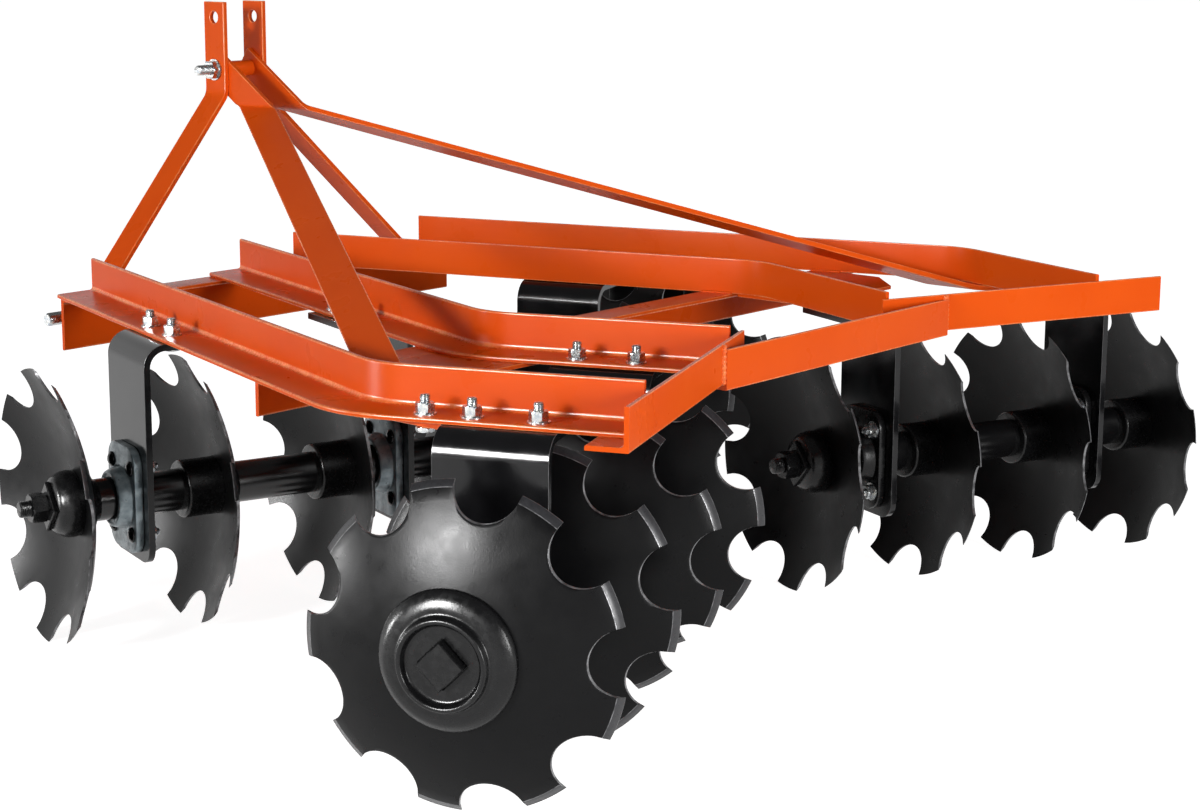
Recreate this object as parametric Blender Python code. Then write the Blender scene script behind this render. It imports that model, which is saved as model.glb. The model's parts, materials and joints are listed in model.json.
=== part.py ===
"""Disc harrow for a three-point hitch: four gangs of notched discs under an angle-iron frame.

Metres, +Z up, +Y is the way it travels, +X is its right side.
The origin is on the ground, under the middle of the machine's width and length. The sizes below place
everything from a point midway between the inner discs of the front and rear gangs, and the last step
of the build moves the whole machine back to its own middle.
"""
import math

import bmesh
import bpy
from mathutils import Vector

# Driving dimensions of the discs
DISC_RADIUS = 0.2032
DISC_WALL = 0.0045
DISC_DISH = 0.050
DISC_FLAT_RADIUS = 0.052
DISC_MID_RADIUS = 0.105
DISC_ROOT_RADIUS = 0.158
DISC_SPACING = 0.2175
DISCS_PER_GANG = 4
NOTCHES = 9
NOTCH_DEPTH = 0.043
# Outline of one tip and one notch: share of the notch pitch, share of the notch's depth
RIM_SHARES = ((0.0, 0.0), (0.2, 0.0), (0.4, 0.0), (0.475, 0.74), (0.7, 1.0), (0.925, 0.74))
EDGE_BEVEL = 0.003

# Driving dimensions of the gangs: angle of each pair and place of its inner disc's rim centre
FRONT_ANGLE = math.radians(18.0)
REAR_ANGLE = math.radians(22.2)
FRONT_INNER_X = 0.118
FRONT_INNER_Y = 0.227
REAR_INNER_X = 0.205
REAR_INNER_Y = -0.2355

# Arbor and spools
ARBOR_SIDE = 0.0254
ARBOR_FIT = 0.0004
SPOOL_RADIUS = 0.0315
FOOT_RADIUS = 0.0520
FOOT_LENGTH = 0.014
COLLAR_RADIUS = 0.0440
COLLAR_LENGTH = 0.056

# Bell casting that holds the arbor's square head against the last disc
BELL_RADIUS = 0.0865
BELL_EDGE = 0.005
BELL_RIM_RADIUS = 0.0555
BELL_LENGTH = 0.024
BELL_RIM_LENGTH = 0.009
BELL_RECESS = 0.010
BELL_THROAT_RADIUS = 0.047
HEAD_SIDE = 0.042
HEAD_LENGTH = 0.013

# End casting, washer and nut at the arbor's other end
END_CAST_RADIUS = 0.050
END_CAST_LENGTH = 0.036
END_CAST_FLANGE = 0.018
END_NECK_RADIUS = 0.039
END_WASHER_SIDE = 0.052
END_WASHER_LENGTH = 0.008
NUT_RADIUS = 0.0225
NUT_LENGTH = 0.024
NUT_SIDES = 6
THREAD_RADIUS = 0.0125
THREAD_LENGTH = 0.016

# Hangers
HANGER_WIDTH = 0.150
HANGER_WALL = 0.010
HANGER_BOTTOM = 0.112
HANGER_BEND_RADIUS = 0.024
HANGER_CORNER_RADIUS = 0.028
# Share of the disc spacing between a disc and the hanger past it
HANGER_FRONT_OUTER_SHARE = 0.630
HANGER_FRONT_INNER_SHARE = 0.590
HANGER_REAR_OUTER_SHARE = 0.575
HANGER_REAR_INNER_SHARE = 0.665
HANGER_BORE_GAP = 0.006

# Flange bearings
BEARING_WIDTH = 0.112
BEARING_HEIGHT = 0.160
BEARING_FLANGE = 0.012
BEARING_CORNER_RADIUS = 0.030
BEARING_BOSS_RADIUS = 0.048
BEARING_NOSE_RADIUS = 0.043
BEARING_BOSS_LENGTH = 0.020

# Frame irons: the four bent beams
FRAME_BOTTOM = 0.441
IRON_WALL = 0.0064
BEAM_UP = 0.058
BEAM_OUT = 0.0665
BEAM_REAR_REACH = 0.163
BEAM_BEND_RADIUS = 0.120
BEAM_FRONT_STATION_OUTER = 0.420
BEAM_FRONT_STATION_INNER = 0.116
BEAM_REAR_STATION_OUTER = 0.466
BEAM_REAR_STATION_INNER = 0.062

# Cross irons and the plates behind the middle one
CROSS_FRONT_UP = 0.087
CROSS_MIDDLE_UP = 0.054
CROSS_ALONG = 0.055
CROSS_FRONT_Y = 0.762
CROSS_FRONT_HALF = 0.449
CROSS_MIDDLE_Y = 0.026
CROSS_MIDDLE_HALF = 0.679
PLATE_LENGTH = 0.148
PLATE_INNER_X = 0.330
PLATE_OUTER_X = 0.640
PLATE_CLIP = 0.070

# Rear irons
REAR_UP = 0.056
REAR_ALONG = 0.055
REAR_REACH = 0.179
REAR_SIDE_INNER = 0.040
REAR_SIDE_OUTER = 0.580
REAR_CENTRE_HALF = 0.280

# Mast: flat bars from the lugs down to the feet in front of the front cross iron
BAR_WIDTH = 0.052
BAR_WALL = 0.009
LUG_HALF_GAP = 0.040
MAST_TOP = 0.908
MAST_LEAN = 0.074
MAST_BEND_DROP = 0.161
MAST_FOOT_INSET = 0.106
MAST_FOOT_RISE = 0.007
MAST_FOOT_DROP = 0.078
LINK_HOLE_RADIUS = 0.0105
LINK_HOLE_DROP = 0.027
MAST_BOLT_DROP = 0.118
MAST_BOLT_RADIUS = 0.009
BOLT_HEAD_RADIUS = 0.017
BOLT_HEAD_LENGTH = 0.010
BOLT_NUT_LENGTH = 0.014
BOLT_TAIL_LENGTH = 0.040
SPACER_RADIUS = 0.014

# Braces from the lugs to the outer beams
BRACE_OVER_BOLT = 0.024
BRACE_BEND_DROP = 0.181
BRACE_BEND_BACK = 0.094
BRACE_END_X = 0.722
BRACE_END_Y = -0.316
BRACE_FOOT_LENGTH = 0.094

# Lower hitch pins
PIN_RADIUS = 0.011
PIN_COLLAR_RADIUS = 0.018
PIN_DROP = 0.0385
PIN_OUT = 0.116
PIN_IN = 0.030

# Gaps between pieces that touch, and how far a cutter passes its work
SEAT = 0.0003
RUN_GAP = 0.0003
OVERRUN = 0.010

# Facets round a circle, the dished bands and the bends
ROUND = 14
BORE_TURN_SHARE = 0.5
DISH_COLUMNS = NOTCHES * 2
THREAD_SIDES = 8
CORNER_STEPS = 2
HANGER_BEND_STEPS = 4
BEAM_BEND_STEPS = 5
MERGE = SEAT / 100.0
SAME_TURN = math.radians(0.001)

# Places that follow from the sizes above
MAST_Y = CROSS_FRONT_Y + MAST_LEAN
MAST_FOOT_X = CROSS_FRONT_HALF - MAST_FOOT_INSET
MAST_FOOT_Y = CROSS_FRONT_Y + SEAT + BAR_WIDTH / 2.0
PIN_Z = FRAME_BOTTOM - PIN_DROP
MAST_BOLT_Z = MAST_TOP - MAST_BOLT_DROP


def material(name, colour, roughness, metallic):
    """A plain Principled material."""
    made = bpy.data.materials.new(name)
    made.use_nodes = True
    shader = made.node_tree.nodes["Principled BSDF"]
    shader.inputs["Base Color"].default_value = (*colour, 1.0)
    shader.inputs["Roughness"].default_value = roughness
    shader.inputs["Metallic"].default_value = metallic
    return made


def finish_object(name, bm, paint, parent=None):
    """Close a bmesh into a named object with outward faces, under its parent."""
    bmesh.ops.remove_doubles(bm, verts=bm.verts, dist=MERGE)
    bmesh.ops.recalc_face_normals(bm, faces=bm.faces)
    mesh = bpy.data.meshes.new(name)
    bm.to_mesh(mesh)
    bm.free()
    mesh.materials.append(paint)
    mesh.shade_smooth()
    mesh.set_sharp_from_angle(angle=math.radians(30.0))
    made = bpy.data.objects.new(name, mesh)
    bpy.context.scene.collection.objects.link(made)
    made.parent = parent
    return made


def add_empty(name, place, turn):
    """An empty at a place, turned about Z."""
    made = bpy.data.objects.new(name, None)
    made.location = place
    made.rotation_euler = (0.0, 0.0, turn)
    bpy.context.scene.collection.objects.link(made)
    return made


def circle(radius, x, count=ROUND, turn_share=0.0):
    """Points of a circle about the X axis, turned by a share of one facet."""
    turns = [2.0 * math.pi * (i + turn_share) / count for i in range(count)]
    return [Vector((x, radius * math.cos(a), radius * math.sin(a))) for a in turns]


def square(side, x):
    """Corners of a square about the X axis, standing on one corner."""
    reach = side * math.sqrt(0.5)
    return [Vector((x, y * reach, z * reach)) for y, z in ((1, 0), (0, 1), (-1, 0), (0, -1))]


def rounded_plate(width, height, corner, x):
    """Outline of a plate about the X axis with round corners."""
    points = []
    for quarter, (sy, sz) in enumerate(((1, 1), (-1, 1), (-1, -1), (1, -1))):
        centre_y = sy * (width / 2.0 - corner)
        centre_z = sz * (height / 2.0 - corner)
        for step in range(CORNER_STEPS + 1):
            turn = math.pi / 2.0 * (quarter + step / CORNER_STEPS)
            across = centre_y + corner * math.cos(turn)
            points.append(Vector((x, across, centre_z + corner * math.sin(turn))))
    return points


def angle_of(point):
    """Turn of a point about the X axis, from 0 to a full circle."""
    return math.atan2(point.z, point.y) % (2.0 * math.pi)


def stitch(bm, first, second):
    """Fill the band between two closed rings of vertices that go round the X axis the same way."""
    first = sorted(first, key=lambda v: angle_of(v.co))
    second = sorted(second, key=lambda v: angle_of(v.co))
    full = 2.0 * math.pi
    i = 0
    j = 0
    while i < len(first) or j < len(second):
        turn_i = angle_of(first[(i + 1) % len(first)].co) + full * ((i + 1) // len(first))
        turn_j = angle_of(second[(j + 1) % len(second)].co) + full * ((j + 1) // len(second))
        a = first[i % len(first)]
        b = second[j % len(second)]
        a_next = first[(i + 1) % len(first)]
        b_next = second[(j + 1) % len(second)]
        step_i = i < len(first) and (j >= len(second) or turn_i <= turn_j + SAME_TURN)
        step_j = j < len(second) and (i >= len(first) or turn_j <= turn_i + SAME_TURN)
        if step_i and step_j:
            bm.faces.new((a, a_next, b_next, b))
        elif step_i:
            bm.faces.new((a, a_next, b))
        else:
            bm.faces.new((a, b_next, b))
        i += 1 if step_i else 0
        j += 1 if step_j else 0


def ring_body(rings, bored):
    """A closed body from rings about the X axis: bored right through, or capped at both ends."""
    bm = bmesh.new()
    loops = [[bm.verts.new(point) for point in ring] for ring in rings]
    for first, second in zip(loops, loops[1:]):
        stitch(bm, first, second)
    if bored:
        stitch(bm, loops[-1], loops[0])
    else:
        bm.faces.new(loops[0])
        bm.faces.new(loops[-1])
    return bm


def loft(sections):
    """A closed body through sections that have the same number of points."""
    bm = bmesh.new()
    loops = [[bm.verts.new(point) for point in section] for section in sections]
    for first, second in zip(loops, loops[1:]):
        for k in range(len(first)):
            after = (k + 1) % len(first)
            bm.faces.new((first[k], first[after], second[after], second[k]))
    bm.faces.new(loops[0])
    bm.faces.new(loops[-1])
    return bm


def cut(target, cutter):
    """Cut one object by another with an exact Boolean."""
    cutter.hide_render = True
    cutter.display_type = "WIRE"
    boolean = target.modifiers.new(cutter.name, "BOOLEAN")
    boolean.operation = "DIFFERENCE"
    boolean.object = cutter


def bore_radius(radius, gap):
    """Corner radius of a round bore whose flats still clear a shaft by the gap."""
    return (radius + gap) / math.cos(math.pi / ROUND)


def dish_rise(radius):
    """How far the dished plate stands from its flat centre towards its rim plane."""
    beyond = max(radius, DISC_FLAT_RADIUS)
    span = DISC_RADIUS ** 2 - DISC_FLAT_RADIUS ** 2
    return DISC_DISH * (beyond ** 2 - DISC_FLAT_RADIUS ** 2) / span


def band_drop(radius):
    """How far the first conical band of the disc falls away from its flat centre."""
    share = (radius - DISC_FLAT_RADIUS) / (DISC_MID_RADIUS - DISC_FLAT_RADIUS)
    return dish_rise(DISC_MID_RADIUS) * share


def disc_ring(radius, side):
    """A ring on one face of the disc; side is +1 on the bulging face and -1 on the hollow one."""
    x = -dish_rise(radius) + side * DISC_WALL / 2.0
    return circle(radius, x, DISH_COLUMNS)


def rim_ring(side, turn_share):
    """The notched outline on one face of the disc, turned by a share of one notch pitch.

    The bulging face is thinned to an edge.
    """
    points = []
    pitch = 2.0 * math.pi / NOTCHES
    for notch in range(NOTCHES):
        for pitch_share, depth_share in RIM_SHARES:
            turn = pitch * (notch + pitch_share + turn_share)
            radius = DISC_RADIUS - NOTCH_DEPTH * depth_share
            x = -dish_rise(radius) - DISC_WALL / 2.0
            x += DISC_WALL - EDGE_BEVEL if side > 0 else 0.0
            points.append(Vector((x, radius * math.cos(turn), radius * math.sin(turn))))
    return points


def disc_body(turn_share):
    """One notched, dished disc whose flat centre lies at x = 0 and whose hollow faces -X."""
    half = DISC_WALL / 2.0
    hole = ARBOR_SIDE + 2.0 * ARBOR_FIT
    radii = (DISC_FLAT_RADIUS, DISC_MID_RADIUS, DISC_ROOT_RADIUS)
    hollow = [square(hole, -half)] + [disc_ring(radius, -1) for radius in radii]
    bulge = [disc_ring(radius, 1) for radius in reversed(radii)] + [square(hole, half)]
    hollow.append(rim_ring(-1, turn_share))
    bulge.insert(0, rim_ring(1, turn_share))
    return ring_body(hollow + bulge, bored=True)


def centre_plane(index):
    """Place along the gang of one disc's flat centre."""
    return (index - (DISCS_PER_GANG - 1) / 2.0) * DISC_SPACING + DISC_DISH


def bearing_station(end, place):
    """Place along the gang, from its middle, of one of its two hangers."""
    if end > 0:
        past = HANGER_FRONT_OUTER_SHARE if place == "outer" else 2 + HANGER_FRONT_INNER_SHARE
    else:
        past = 2 + HANGER_REAR_OUTER_SHARE if place == "outer" else HANGER_REAR_INNER_SHARE
    return (past - (DISCS_PER_GANG - 1) / 2.0) * DISC_SPACING


def nut_rings(disc_face):
    """Rings of the thread, nut, square washer and end casting up to the first disc."""
    cast_end = disc_face - END_CAST_LENGTH
    nut_face = cast_end - END_WASHER_LENGTH
    nut_end = nut_face - NUT_LENGTH
    rings = [circle(THREAD_RADIUS, x, THREAD_SIDES) for x in (nut_end - THREAD_LENGTH, nut_end)]
    rings += [circle(NUT_RADIUS, x, NUT_SIDES) for x in (nut_end, nut_face)]
    rings += [square(END_WASHER_SIDE, x) for x in (nut_face, cast_end)]
    rings += [circle(END_NECK_RADIUS, cast_end)]
    rings += [circle(END_CAST_RADIUS, x) for x in (disc_face - END_CAST_FLANGE, disc_face)]
    return rings


def spool_rings(start, end):
    """Rings of one spool: a foot on one disc's bulging face, and a collar in the next one's hollow."""
    rings = [circle(FOOT_RADIUS, x) for x in (start, start + FOOT_LENGTH)]
    rings += [circle(SPOOL_RADIUS, x) for x in (start + FOOT_LENGTH, end - COLLAR_LENGTH)]
    rings += [circle(COLLAR_RADIUS, end - COLLAR_LENGTH), circle(COLLAR_RADIUS, end)]
    return rings


def bell_rings(base):
    """Rings of the bell casting, whose skirt lies on the bulging face, and of the square head in it."""
    skirt = base - band_drop(BELL_RADIUS) + 2.0 * SEAT
    rim = base + BELL_LENGTH
    seat = rim - BELL_RECESS
    rings = [circle(DISC_FLAT_RADIUS, base)]
    rings += [circle(BELL_RADIUS, x) for x in (skirt, skirt + BELL_EDGE)]
    rings += [circle(BELL_RIM_RADIUS, x) for x in (rim - BELL_RIM_LENGTH, rim)]
    rings += [circle(BELL_THROAT_RADIUS, x) for x in (rim, seat)]
    rings += [square(HEAD_SIDE, x) for x in (seat, seat + HEAD_LENGTH)]
    return rings


def arbor_body():
    """The square arbor with its spools, end castings, head and nut as one turned body."""
    half = DISC_WALL / 2.0 + SEAT
    planes = [centre_plane(index) for index in range(DISCS_PER_GANG)]
    rings = nut_rings(planes[0] - half)
    for index, here in enumerate(planes):
        rings += [square(ARBOR_SIDE, here - half), square(ARBOR_SIDE, here + half)]
        if index < DISCS_PER_GANG - 1:
            rings += spool_rings(here + half, planes[index + 1] - half)
    rings += bell_rings(planes[-1] + half)
    return ring_body(rings, bored=False)


def bearing_body():
    """A flange bearing: plate, round boss and bore, with its seat on the hanger at x = 0."""
    bore = bore_radius(SPOOL_RADIUS, RUN_GAP)
    plate = (BEARING_WIDTH, BEARING_HEIGHT, BEARING_CORNER_RADIUS)
    end = -BEARING_FLANGE - BEARING_BOSS_LENGTH
    rings = [circle(bore, 0.0, turn_share=BORE_TURN_SHARE)]
    rings += [rounded_plate(*plate, 0.0), rounded_plate(*plate, -BEARING_FLANGE)]
    rings += [circle(BEARING_BOSS_RADIUS, -BEARING_FLANGE), circle(BEARING_NOSE_RADIUS, end)]
    rings += [circle(bore, end, turn_share=BORE_TURN_SHARE)]
    return ring_body(rings, bored=True)


def hanger_outline(side, reach):
    """Outline in X and Z of a flat bar that bends at the top towards one side."""
    top = FRAME_BOTTOM - SEAT - DISC_RADIUS
    bottom = HANGER_BOTTOM - DISC_RADIUS
    half = HANGER_WALL / 2.0
    centre = Vector((half + HANGER_BEND_RADIUS, top - HANGER_WALL - HANGER_BEND_RADIUS))
    outer = []
    inner = []
    for step in range(HANGER_BEND_STEPS + 1):
        turn = math.pi / 2.0 * step / HANGER_BEND_STEPS
        away = Vector((-math.cos(turn), math.sin(turn)))
        outer.append(centre + away * (HANGER_BEND_RADIUS + HANGER_WALL))
        inner.append(centre + away * HANGER_BEND_RADIUS)
    points = [Vector((-half, bottom))] + outer + [Vector((reach, top)), Vector((reach, top - HANGER_WALL))]
    points += list(reversed(inner)) + [Vector((half, bottom))]
    return [Vector((point.x * side, point.y)) for point in points]


def hanger_body(side, reach):
    """A hanger bar with its lower corners rounded."""
    outline = hanger_outline(side, reach)
    half = HANGER_WIDTH / 2.0
    bm = loft([[Vector((point.x, y, point.y)) for point in outline] for y in (-half, half)])
    low = min(vert.co.z for vert in bm.verts)
    corners = [edge for edge in bm.edges if all(vert.co.z < low + SEAT for vert in edge.verts)
               and abs(edge.verts[0].co.y - edge.verts[1].co.y) < SEAT]
    bmesh.ops.bevel(bm, geom=corners, offset=HANGER_CORNER_RADIUS, segments=CORNER_STEPS, affect="EDGES",
                     profile=0.5)
    return bm


def gang_frame(side, end):
    """Inner disc's rim centre, outward direction and rearward or forward direction of a gang."""
    turn = FRONT_ANGLE if end > 0 else REAR_ANGLE
    inner_x = FRONT_INNER_X if end > 0 else REAR_INNER_X
    inner_y = FRONT_INNER_Y if end > 0 else REAR_INNER_Y
    start = Vector((side * inner_x, inner_y))
    outward = Vector((side * math.cos(turn), end * math.sin(turn)))
    onward = Vector((-side * math.sin(turn), end * math.cos(turn)))
    return start, outward, onward


def gang_spin(gang_name, side, end, turn_shares, paints):
    """The empty on a gang's axis with its arbor and its four discs."""
    start, outward, onward = gang_frame(side, end)
    middle = start + outward * DISC_SPACING * (DISCS_PER_GANG - 1) / 2.0
    bulge = outward * -end
    axis = add_empty("gang_" + gang_name, (middle.x, middle.y, DISC_RADIUS), math.atan2(bulge.y, bulge.x))
    finish_object("arbor_" + gang_name, arbor_body(), paints["black"], axis)
    for index, turn_share in enumerate(turn_shares):
        name = "disc_%s_%d" % (gang_name, index + 1)
        disc = finish_object(name, disc_body(turn_share), paints["disc"], axis)
        disc.location = (centre_plane(index), 0.0, 0.0)
    return axis


def gang_support(gang_name, side, end, paints):
    """The two hangers of a gang and the flange bearings bolted to them."""
    start, outward, onward = gang_frame(side, end)
    middle = start + outward * DISC_SPACING * (DISCS_PER_GANG - 1) / 2.0
    bulge = outward * -end
    turn = math.atan2(bulge.y, bulge.x)
    for place in ("outer", "inner"):
        station = bearing_station(end, place)
        along = (middle - start).length - end * station
        beam = beam_station(end, place)
        if end > 0 and place == "inner":
            top_side = -1.0
            reach = beam + BEAM_OUT - along + HANGER_WALL
        else:
            top_side = end
            reach = along - beam
        centre = middle + bulge * station
        name = "%s_%s" % (gang_name, place)
        seat = add_empty("seat_" + name, (centre.x, centre.y, DISC_RADIUS), turn)
        hanger = finish_object("hanger_" + name, hanger_body(top_side, reach), paints["black"], seat)
        hole = finish_object("hole_" + name, hanger_hole(), paints["black"], seat)
        cut(hanger, hole)
        bearing = finish_object("bearing_" + name, bearing_body(), paints["zinc"], seat)
        bearing.location = (-HANGER_WALL / 2.0 - SEAT, 0.0, 0.0)


def hanger_hole():
    """Cutter for the hole that a spool turns in."""
    radius = bore_radius(SPOOL_RADIUS, HANGER_BORE_GAP)
    reach = HANGER_WALL / 2.0 + OVERRUN
    return ring_body([circle(radius, -reach), circle(radius, reach)], bored=False)


def beam_station(end, place):
    """Distance of a beam's upright leg along a gang from the inner disc."""
    if end > 0:
        return BEAM_FRONT_STATION_OUTER if place == "outer" else BEAM_FRONT_STATION_INNER
    return BEAM_REAR_STATION_OUTER if place == "outer" else BEAM_REAR_STATION_INNER


def crossing(point_a, way_a, point_b, way_b):
    """Where two lines in plan cross."""
    cross = way_a.x * way_b.y - way_a.y * way_b.x
    apart = point_b - point_a
    return point_a + way_a * ((apart.x * way_b.y - apart.y * way_b.x) / cross)


def beam_path(side, place):
    """Plan points of a beam's upright leg from its front end round the bend to its rear end."""
    front_start, front_out, front_on = gang_frame(side, 1)
    rear_start, rear_out, rear_on = gang_frame(side, -1)
    front = front_start + front_out * beam_station(1, place)
    rear = rear_start + rear_out * beam_station(-1, place)
    corner = crossing(front, front_on, rear, rear_on)
    front_end = corner + front_on * ((CROSS_FRONT_Y - corner.y) / front_on.y)
    rear_end = rear + rear_on * BEAM_REAR_REACH
    return round_corner(front_end, corner, rear_end, BEAM_BEND_RADIUS)


def round_corner(before, corner, after, radius):
    """A path of two straight stretches joined by an arc."""
    into = (corner - before).normalized()
    out = (after - corner).normalized()
    swing = into.angle(out)
    back = radius * math.tan(swing / 2.0)
    start = corner - into * back
    normal = Vector((-into.y, into.x))
    if normal.dot(out) < 0.0:
        normal = -normal
    centre = start + normal * radius
    points = [before]
    for step in range(BEAM_BEND_STEPS + 1):
        turn = swing * step / BEAM_BEND_STEPS
        points.append(centre - normal * radius * math.cos(turn) + into * radius * math.sin(turn))
    return points + [after]


def swept_iron(path, outline, outward_hint, level_front=False):
    """An angle iron: its outline (across, up) carried along a plan path, the first end level on demand."""
    sections = []
    for index, point in enumerate(path):
        before = path[max(index - 1, 0)]
        after = path[min(index + 1, len(path) - 1)]
        into = (point - before).normalized() if index > 0 else (after - point).normalized()
        out = (after - point).normalized() if index < len(path) - 1 else into
        tangent = (into + out).normalized()
        across = Vector((tangent.y, -tangent.x))
        if across.dot(outward_hint) < 0.0:
            across = -across
        across = across / math.cos(into.angle(out, 0.0) / 2.0)
        if index == 0 and level_front:
            across = across - tangent * (across.y / tangent.y)
        sections.append([Vector((point.x + across.x * a, point.y + across.y * a, z)) for a, z in outline])
    return loft(sections)


def beam(name, side, place, paint):
    """One of the four long bent angle irons."""
    low = FRAME_BOTTOM
    outline = ((-IRON_WALL, low), (BEAM_OUT, low), (BEAM_OUT, low + IRON_WALL), (0.0, low + IRON_WALL),
               (0.0, low + BEAM_UP), (-IRON_WALL, low + BEAM_UP))
    iron = swept_iron(beam_path(side, place), outline, Vector((side, 0.0)), level_front=True)
    finish_object(name, iron, paint)


def cross_iron(name, front_y, half, up, paint):
    """A straight angle iron across the machine: upright leg in front, flat leg on top."""
    top = FRAME_BOTTOM - SEAT
    outline = ((0.0, top - up), (0.0, top), (-CROSS_ALONG, top), (-CROSS_ALONG, top - IRON_WALL),
               (-IRON_WALL, top - IRON_WALL), (-IRON_WALL, top - up))
    path = [Vector((-half, front_y)), Vector((half, front_y))]
    finish_object(name, swept_iron(path, outline, Vector((0.0, 1.0))), paint)


def frame_plate(name, side, paint):
    """A flat plate behind the middle cross iron, under the two beams of one side."""
    front = CROSS_MIDDLE_Y - CROSS_ALONG - SEAT
    rear = front - PLATE_LENGTH
    top = FRAME_BOTTOM - SEAT
    outline = ((PLATE_INNER_X, front), (PLATE_OUTER_X, front), (PLATE_OUTER_X, rear + PLATE_CLIP),
               (PLATE_OUTER_X - PLATE_CLIP, rear), (PLATE_INNER_X, rear))
    sections = [[Vector((side * x, y, z)) for x, y in outline] for z in (top - IRON_WALL, top)]
    finish_object(name, loft(sections), paint)


def rear_outline(low):
    """Angle iron whose upright leg stands behind the beams and whose flat leg runs under them."""
    return ((0.0, low), (0.0, low + REAR_UP), (-IRON_WALL, low + REAR_UP), (-IRON_WALL, low + IRON_WALL),
            (-REAR_ALONG, low + IRON_WALL), (-REAR_ALONG, low))


def rear_side(name, side, paint):
    """A rear angle iron that joins the ends of one side's two beams."""
    start, outward, onward = gang_frame(side, -1)
    line = start + onward * REAR_REACH
    path = [line + outward * REAR_SIDE_INNER, line + outward * REAR_SIDE_OUTER]
    low = FRAME_BOTTOM - SEAT - IRON_WALL
    finish_object(name, swept_iron(path, rear_outline(low), onward), paint)


def rear_centre(paint):
    """The rear angle iron that joins the two side ones, its flat leg under theirs."""
    start, outward, onward = gang_frame(1, -1)
    line = start + onward * (REAR_REACH + SEAT)
    back = line.y + outward.y * (REAR_CENTRE_HALF - line.x) / outward.x - IRON_WALL
    low = FRAME_BOTTOM - 2.0 * (SEAT + IRON_WALL)
    path = [Vector((-REAR_CENTRE_HALF, back)), Vector((REAR_CENTRE_HALF, back))]
    finish_object("rear_iron_centre", swept_iron(path, rear_outline(low), Vector((0.0, -1.0))), paint)


def bar_loft(points, ways, walls, halves):
    """A flat bar: at each point a way across its wall, a wall thickness and half of its width as a vector."""
    sections = []
    for point, way, wall, half in zip(points, ways, walls, halves):
        sections.append([point + way * (wall / 2.0) + half, point + way * (wall / 2.0) - half,
                         point - way * (wall / 2.0) - half, point - way * (wall / 2.0) + half])
    return loft(sections)


def bar_path(points):
    """Ways across a bent bar's wall and its mitred wall at each point, for bends about Y."""
    ways = []
    walls = []
    for index, point in enumerate(points):
        before = points[max(index - 1, 0)]
        after = points[min(index + 1, len(points) - 1)]
        into = Vector((point.x - before.x, 0.0, point.z - before.z))
        out = Vector((after.x - point.x, 0.0, after.z - point.z))
        into = into.normalized() if index > 0 else out.normalized()
        out = out.normalized() if index < len(points) - 1 else into
        tangent = (into + out).normalized()
        ways.append(Vector((tangent.z, 0.0, -tangent.x)))
        walls.append(BAR_WALL / math.cos(into.angle(out, 0.0) / 2.0))
    return ways, walls


def mast_leg(name, side, paint):
    """One flat bar of the mast: upright lug, sloping leg and upright foot in front of the cross iron."""
    lug_x = side * (LUG_HALF_GAP + BAR_WALL / 2.0)
    foot_x = side * MAST_FOOT_X
    points = [Vector((lug_x, MAST_Y, MAST_TOP)), Vector((lug_x, MAST_Y, MAST_TOP - MAST_BEND_DROP)),
              Vector((foot_x, MAST_FOOT_Y, FRAME_BOTTOM + MAST_FOOT_RISE)),
              Vector((foot_x, MAST_FOOT_Y, FRAME_BOTTOM - MAST_FOOT_DROP))]
    ways, walls = bar_path(points)
    half = Vector((0.0, BAR_WIDTH / 2.0, 0.0))
    leg = finish_object(name, bar_loft(points, ways, walls, [half] * len(points)), paint)
    for label, radius, x, y, z in (("link", LINK_HOLE_RADIUS, lug_x, MAST_Y, MAST_TOP - LINK_HOLE_DROP),
                                   ("bolt", MAST_BOLT_RADIUS + RUN_GAP, lug_x, MAST_Y, MAST_BOLT_Z),
                                   ("pin", PIN_RADIUS + RUN_GAP, foot_x, MAST_FOOT_Y, PIN_Z)):
        cut(leg, x_rod("cut_%s_%s" % (label, name), radius, x, y, z, paint))


def x_rod(name, radius, x, y, z, paint):
    """A round cutter along X, long enough to pass through a bar."""
    reach = BAR_WALL / 2.0 + OVERRUN
    rod = finish_object(name, ring_body([circle(radius, -reach), circle(radius, reach)], bored=False), paint)
    rod.location = (x, y, z)
    return rod


def brace(name, side, paint):
    """A flat bar from the mast's lugs out and down to the rear part of an outer beam."""
    inner_x = side * (LUG_HALF_GAP - BAR_WALL / 2.0 - SEAT)
    foot_z = FRAME_BOTTOM - SEAT - BAR_WALL / 2.0
    end = Vector((side * BRACE_END_X, BRACE_END_Y, foot_z))
    bend = Vector((inner_x, MAST_Y - BRACE_BEND_BACK, MAST_TOP - BRACE_BEND_DROP))
    run = Vector((end.x - bend.x, end.y - bend.y, 0.0))
    slant = run.length / abs(run.x)
    foot = end - run.normalized() * BRACE_FOOT_LENGTH
    bolt = Vector((inner_x, MAST_Y, MAST_BOLT_Z))
    upper = (bend - bolt).normalized()
    points = [bolt - upper * BRACE_OVER_BOLT, bend, foot, end]
    ways, walls = bar_path(points)
    square_cut = Vector((0.0, -upper.z, upper.y)) * (BAR_WIDTH / 2.0)
    slant_cut = Vector((0.0, BAR_WIDTH * slant / 2.0, 0.0))
    halves = (square_cut, slant_cut, slant_cut, slant_cut)
    leg = finish_object(name, bar_loft(points, ways, walls, halves), paint)
    cut(leg, x_rod("cut_" + name, MAST_BOLT_RADIUS + RUN_GAP, inner_x, MAST_Y, MAST_BOLT_Z, paint))


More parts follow.
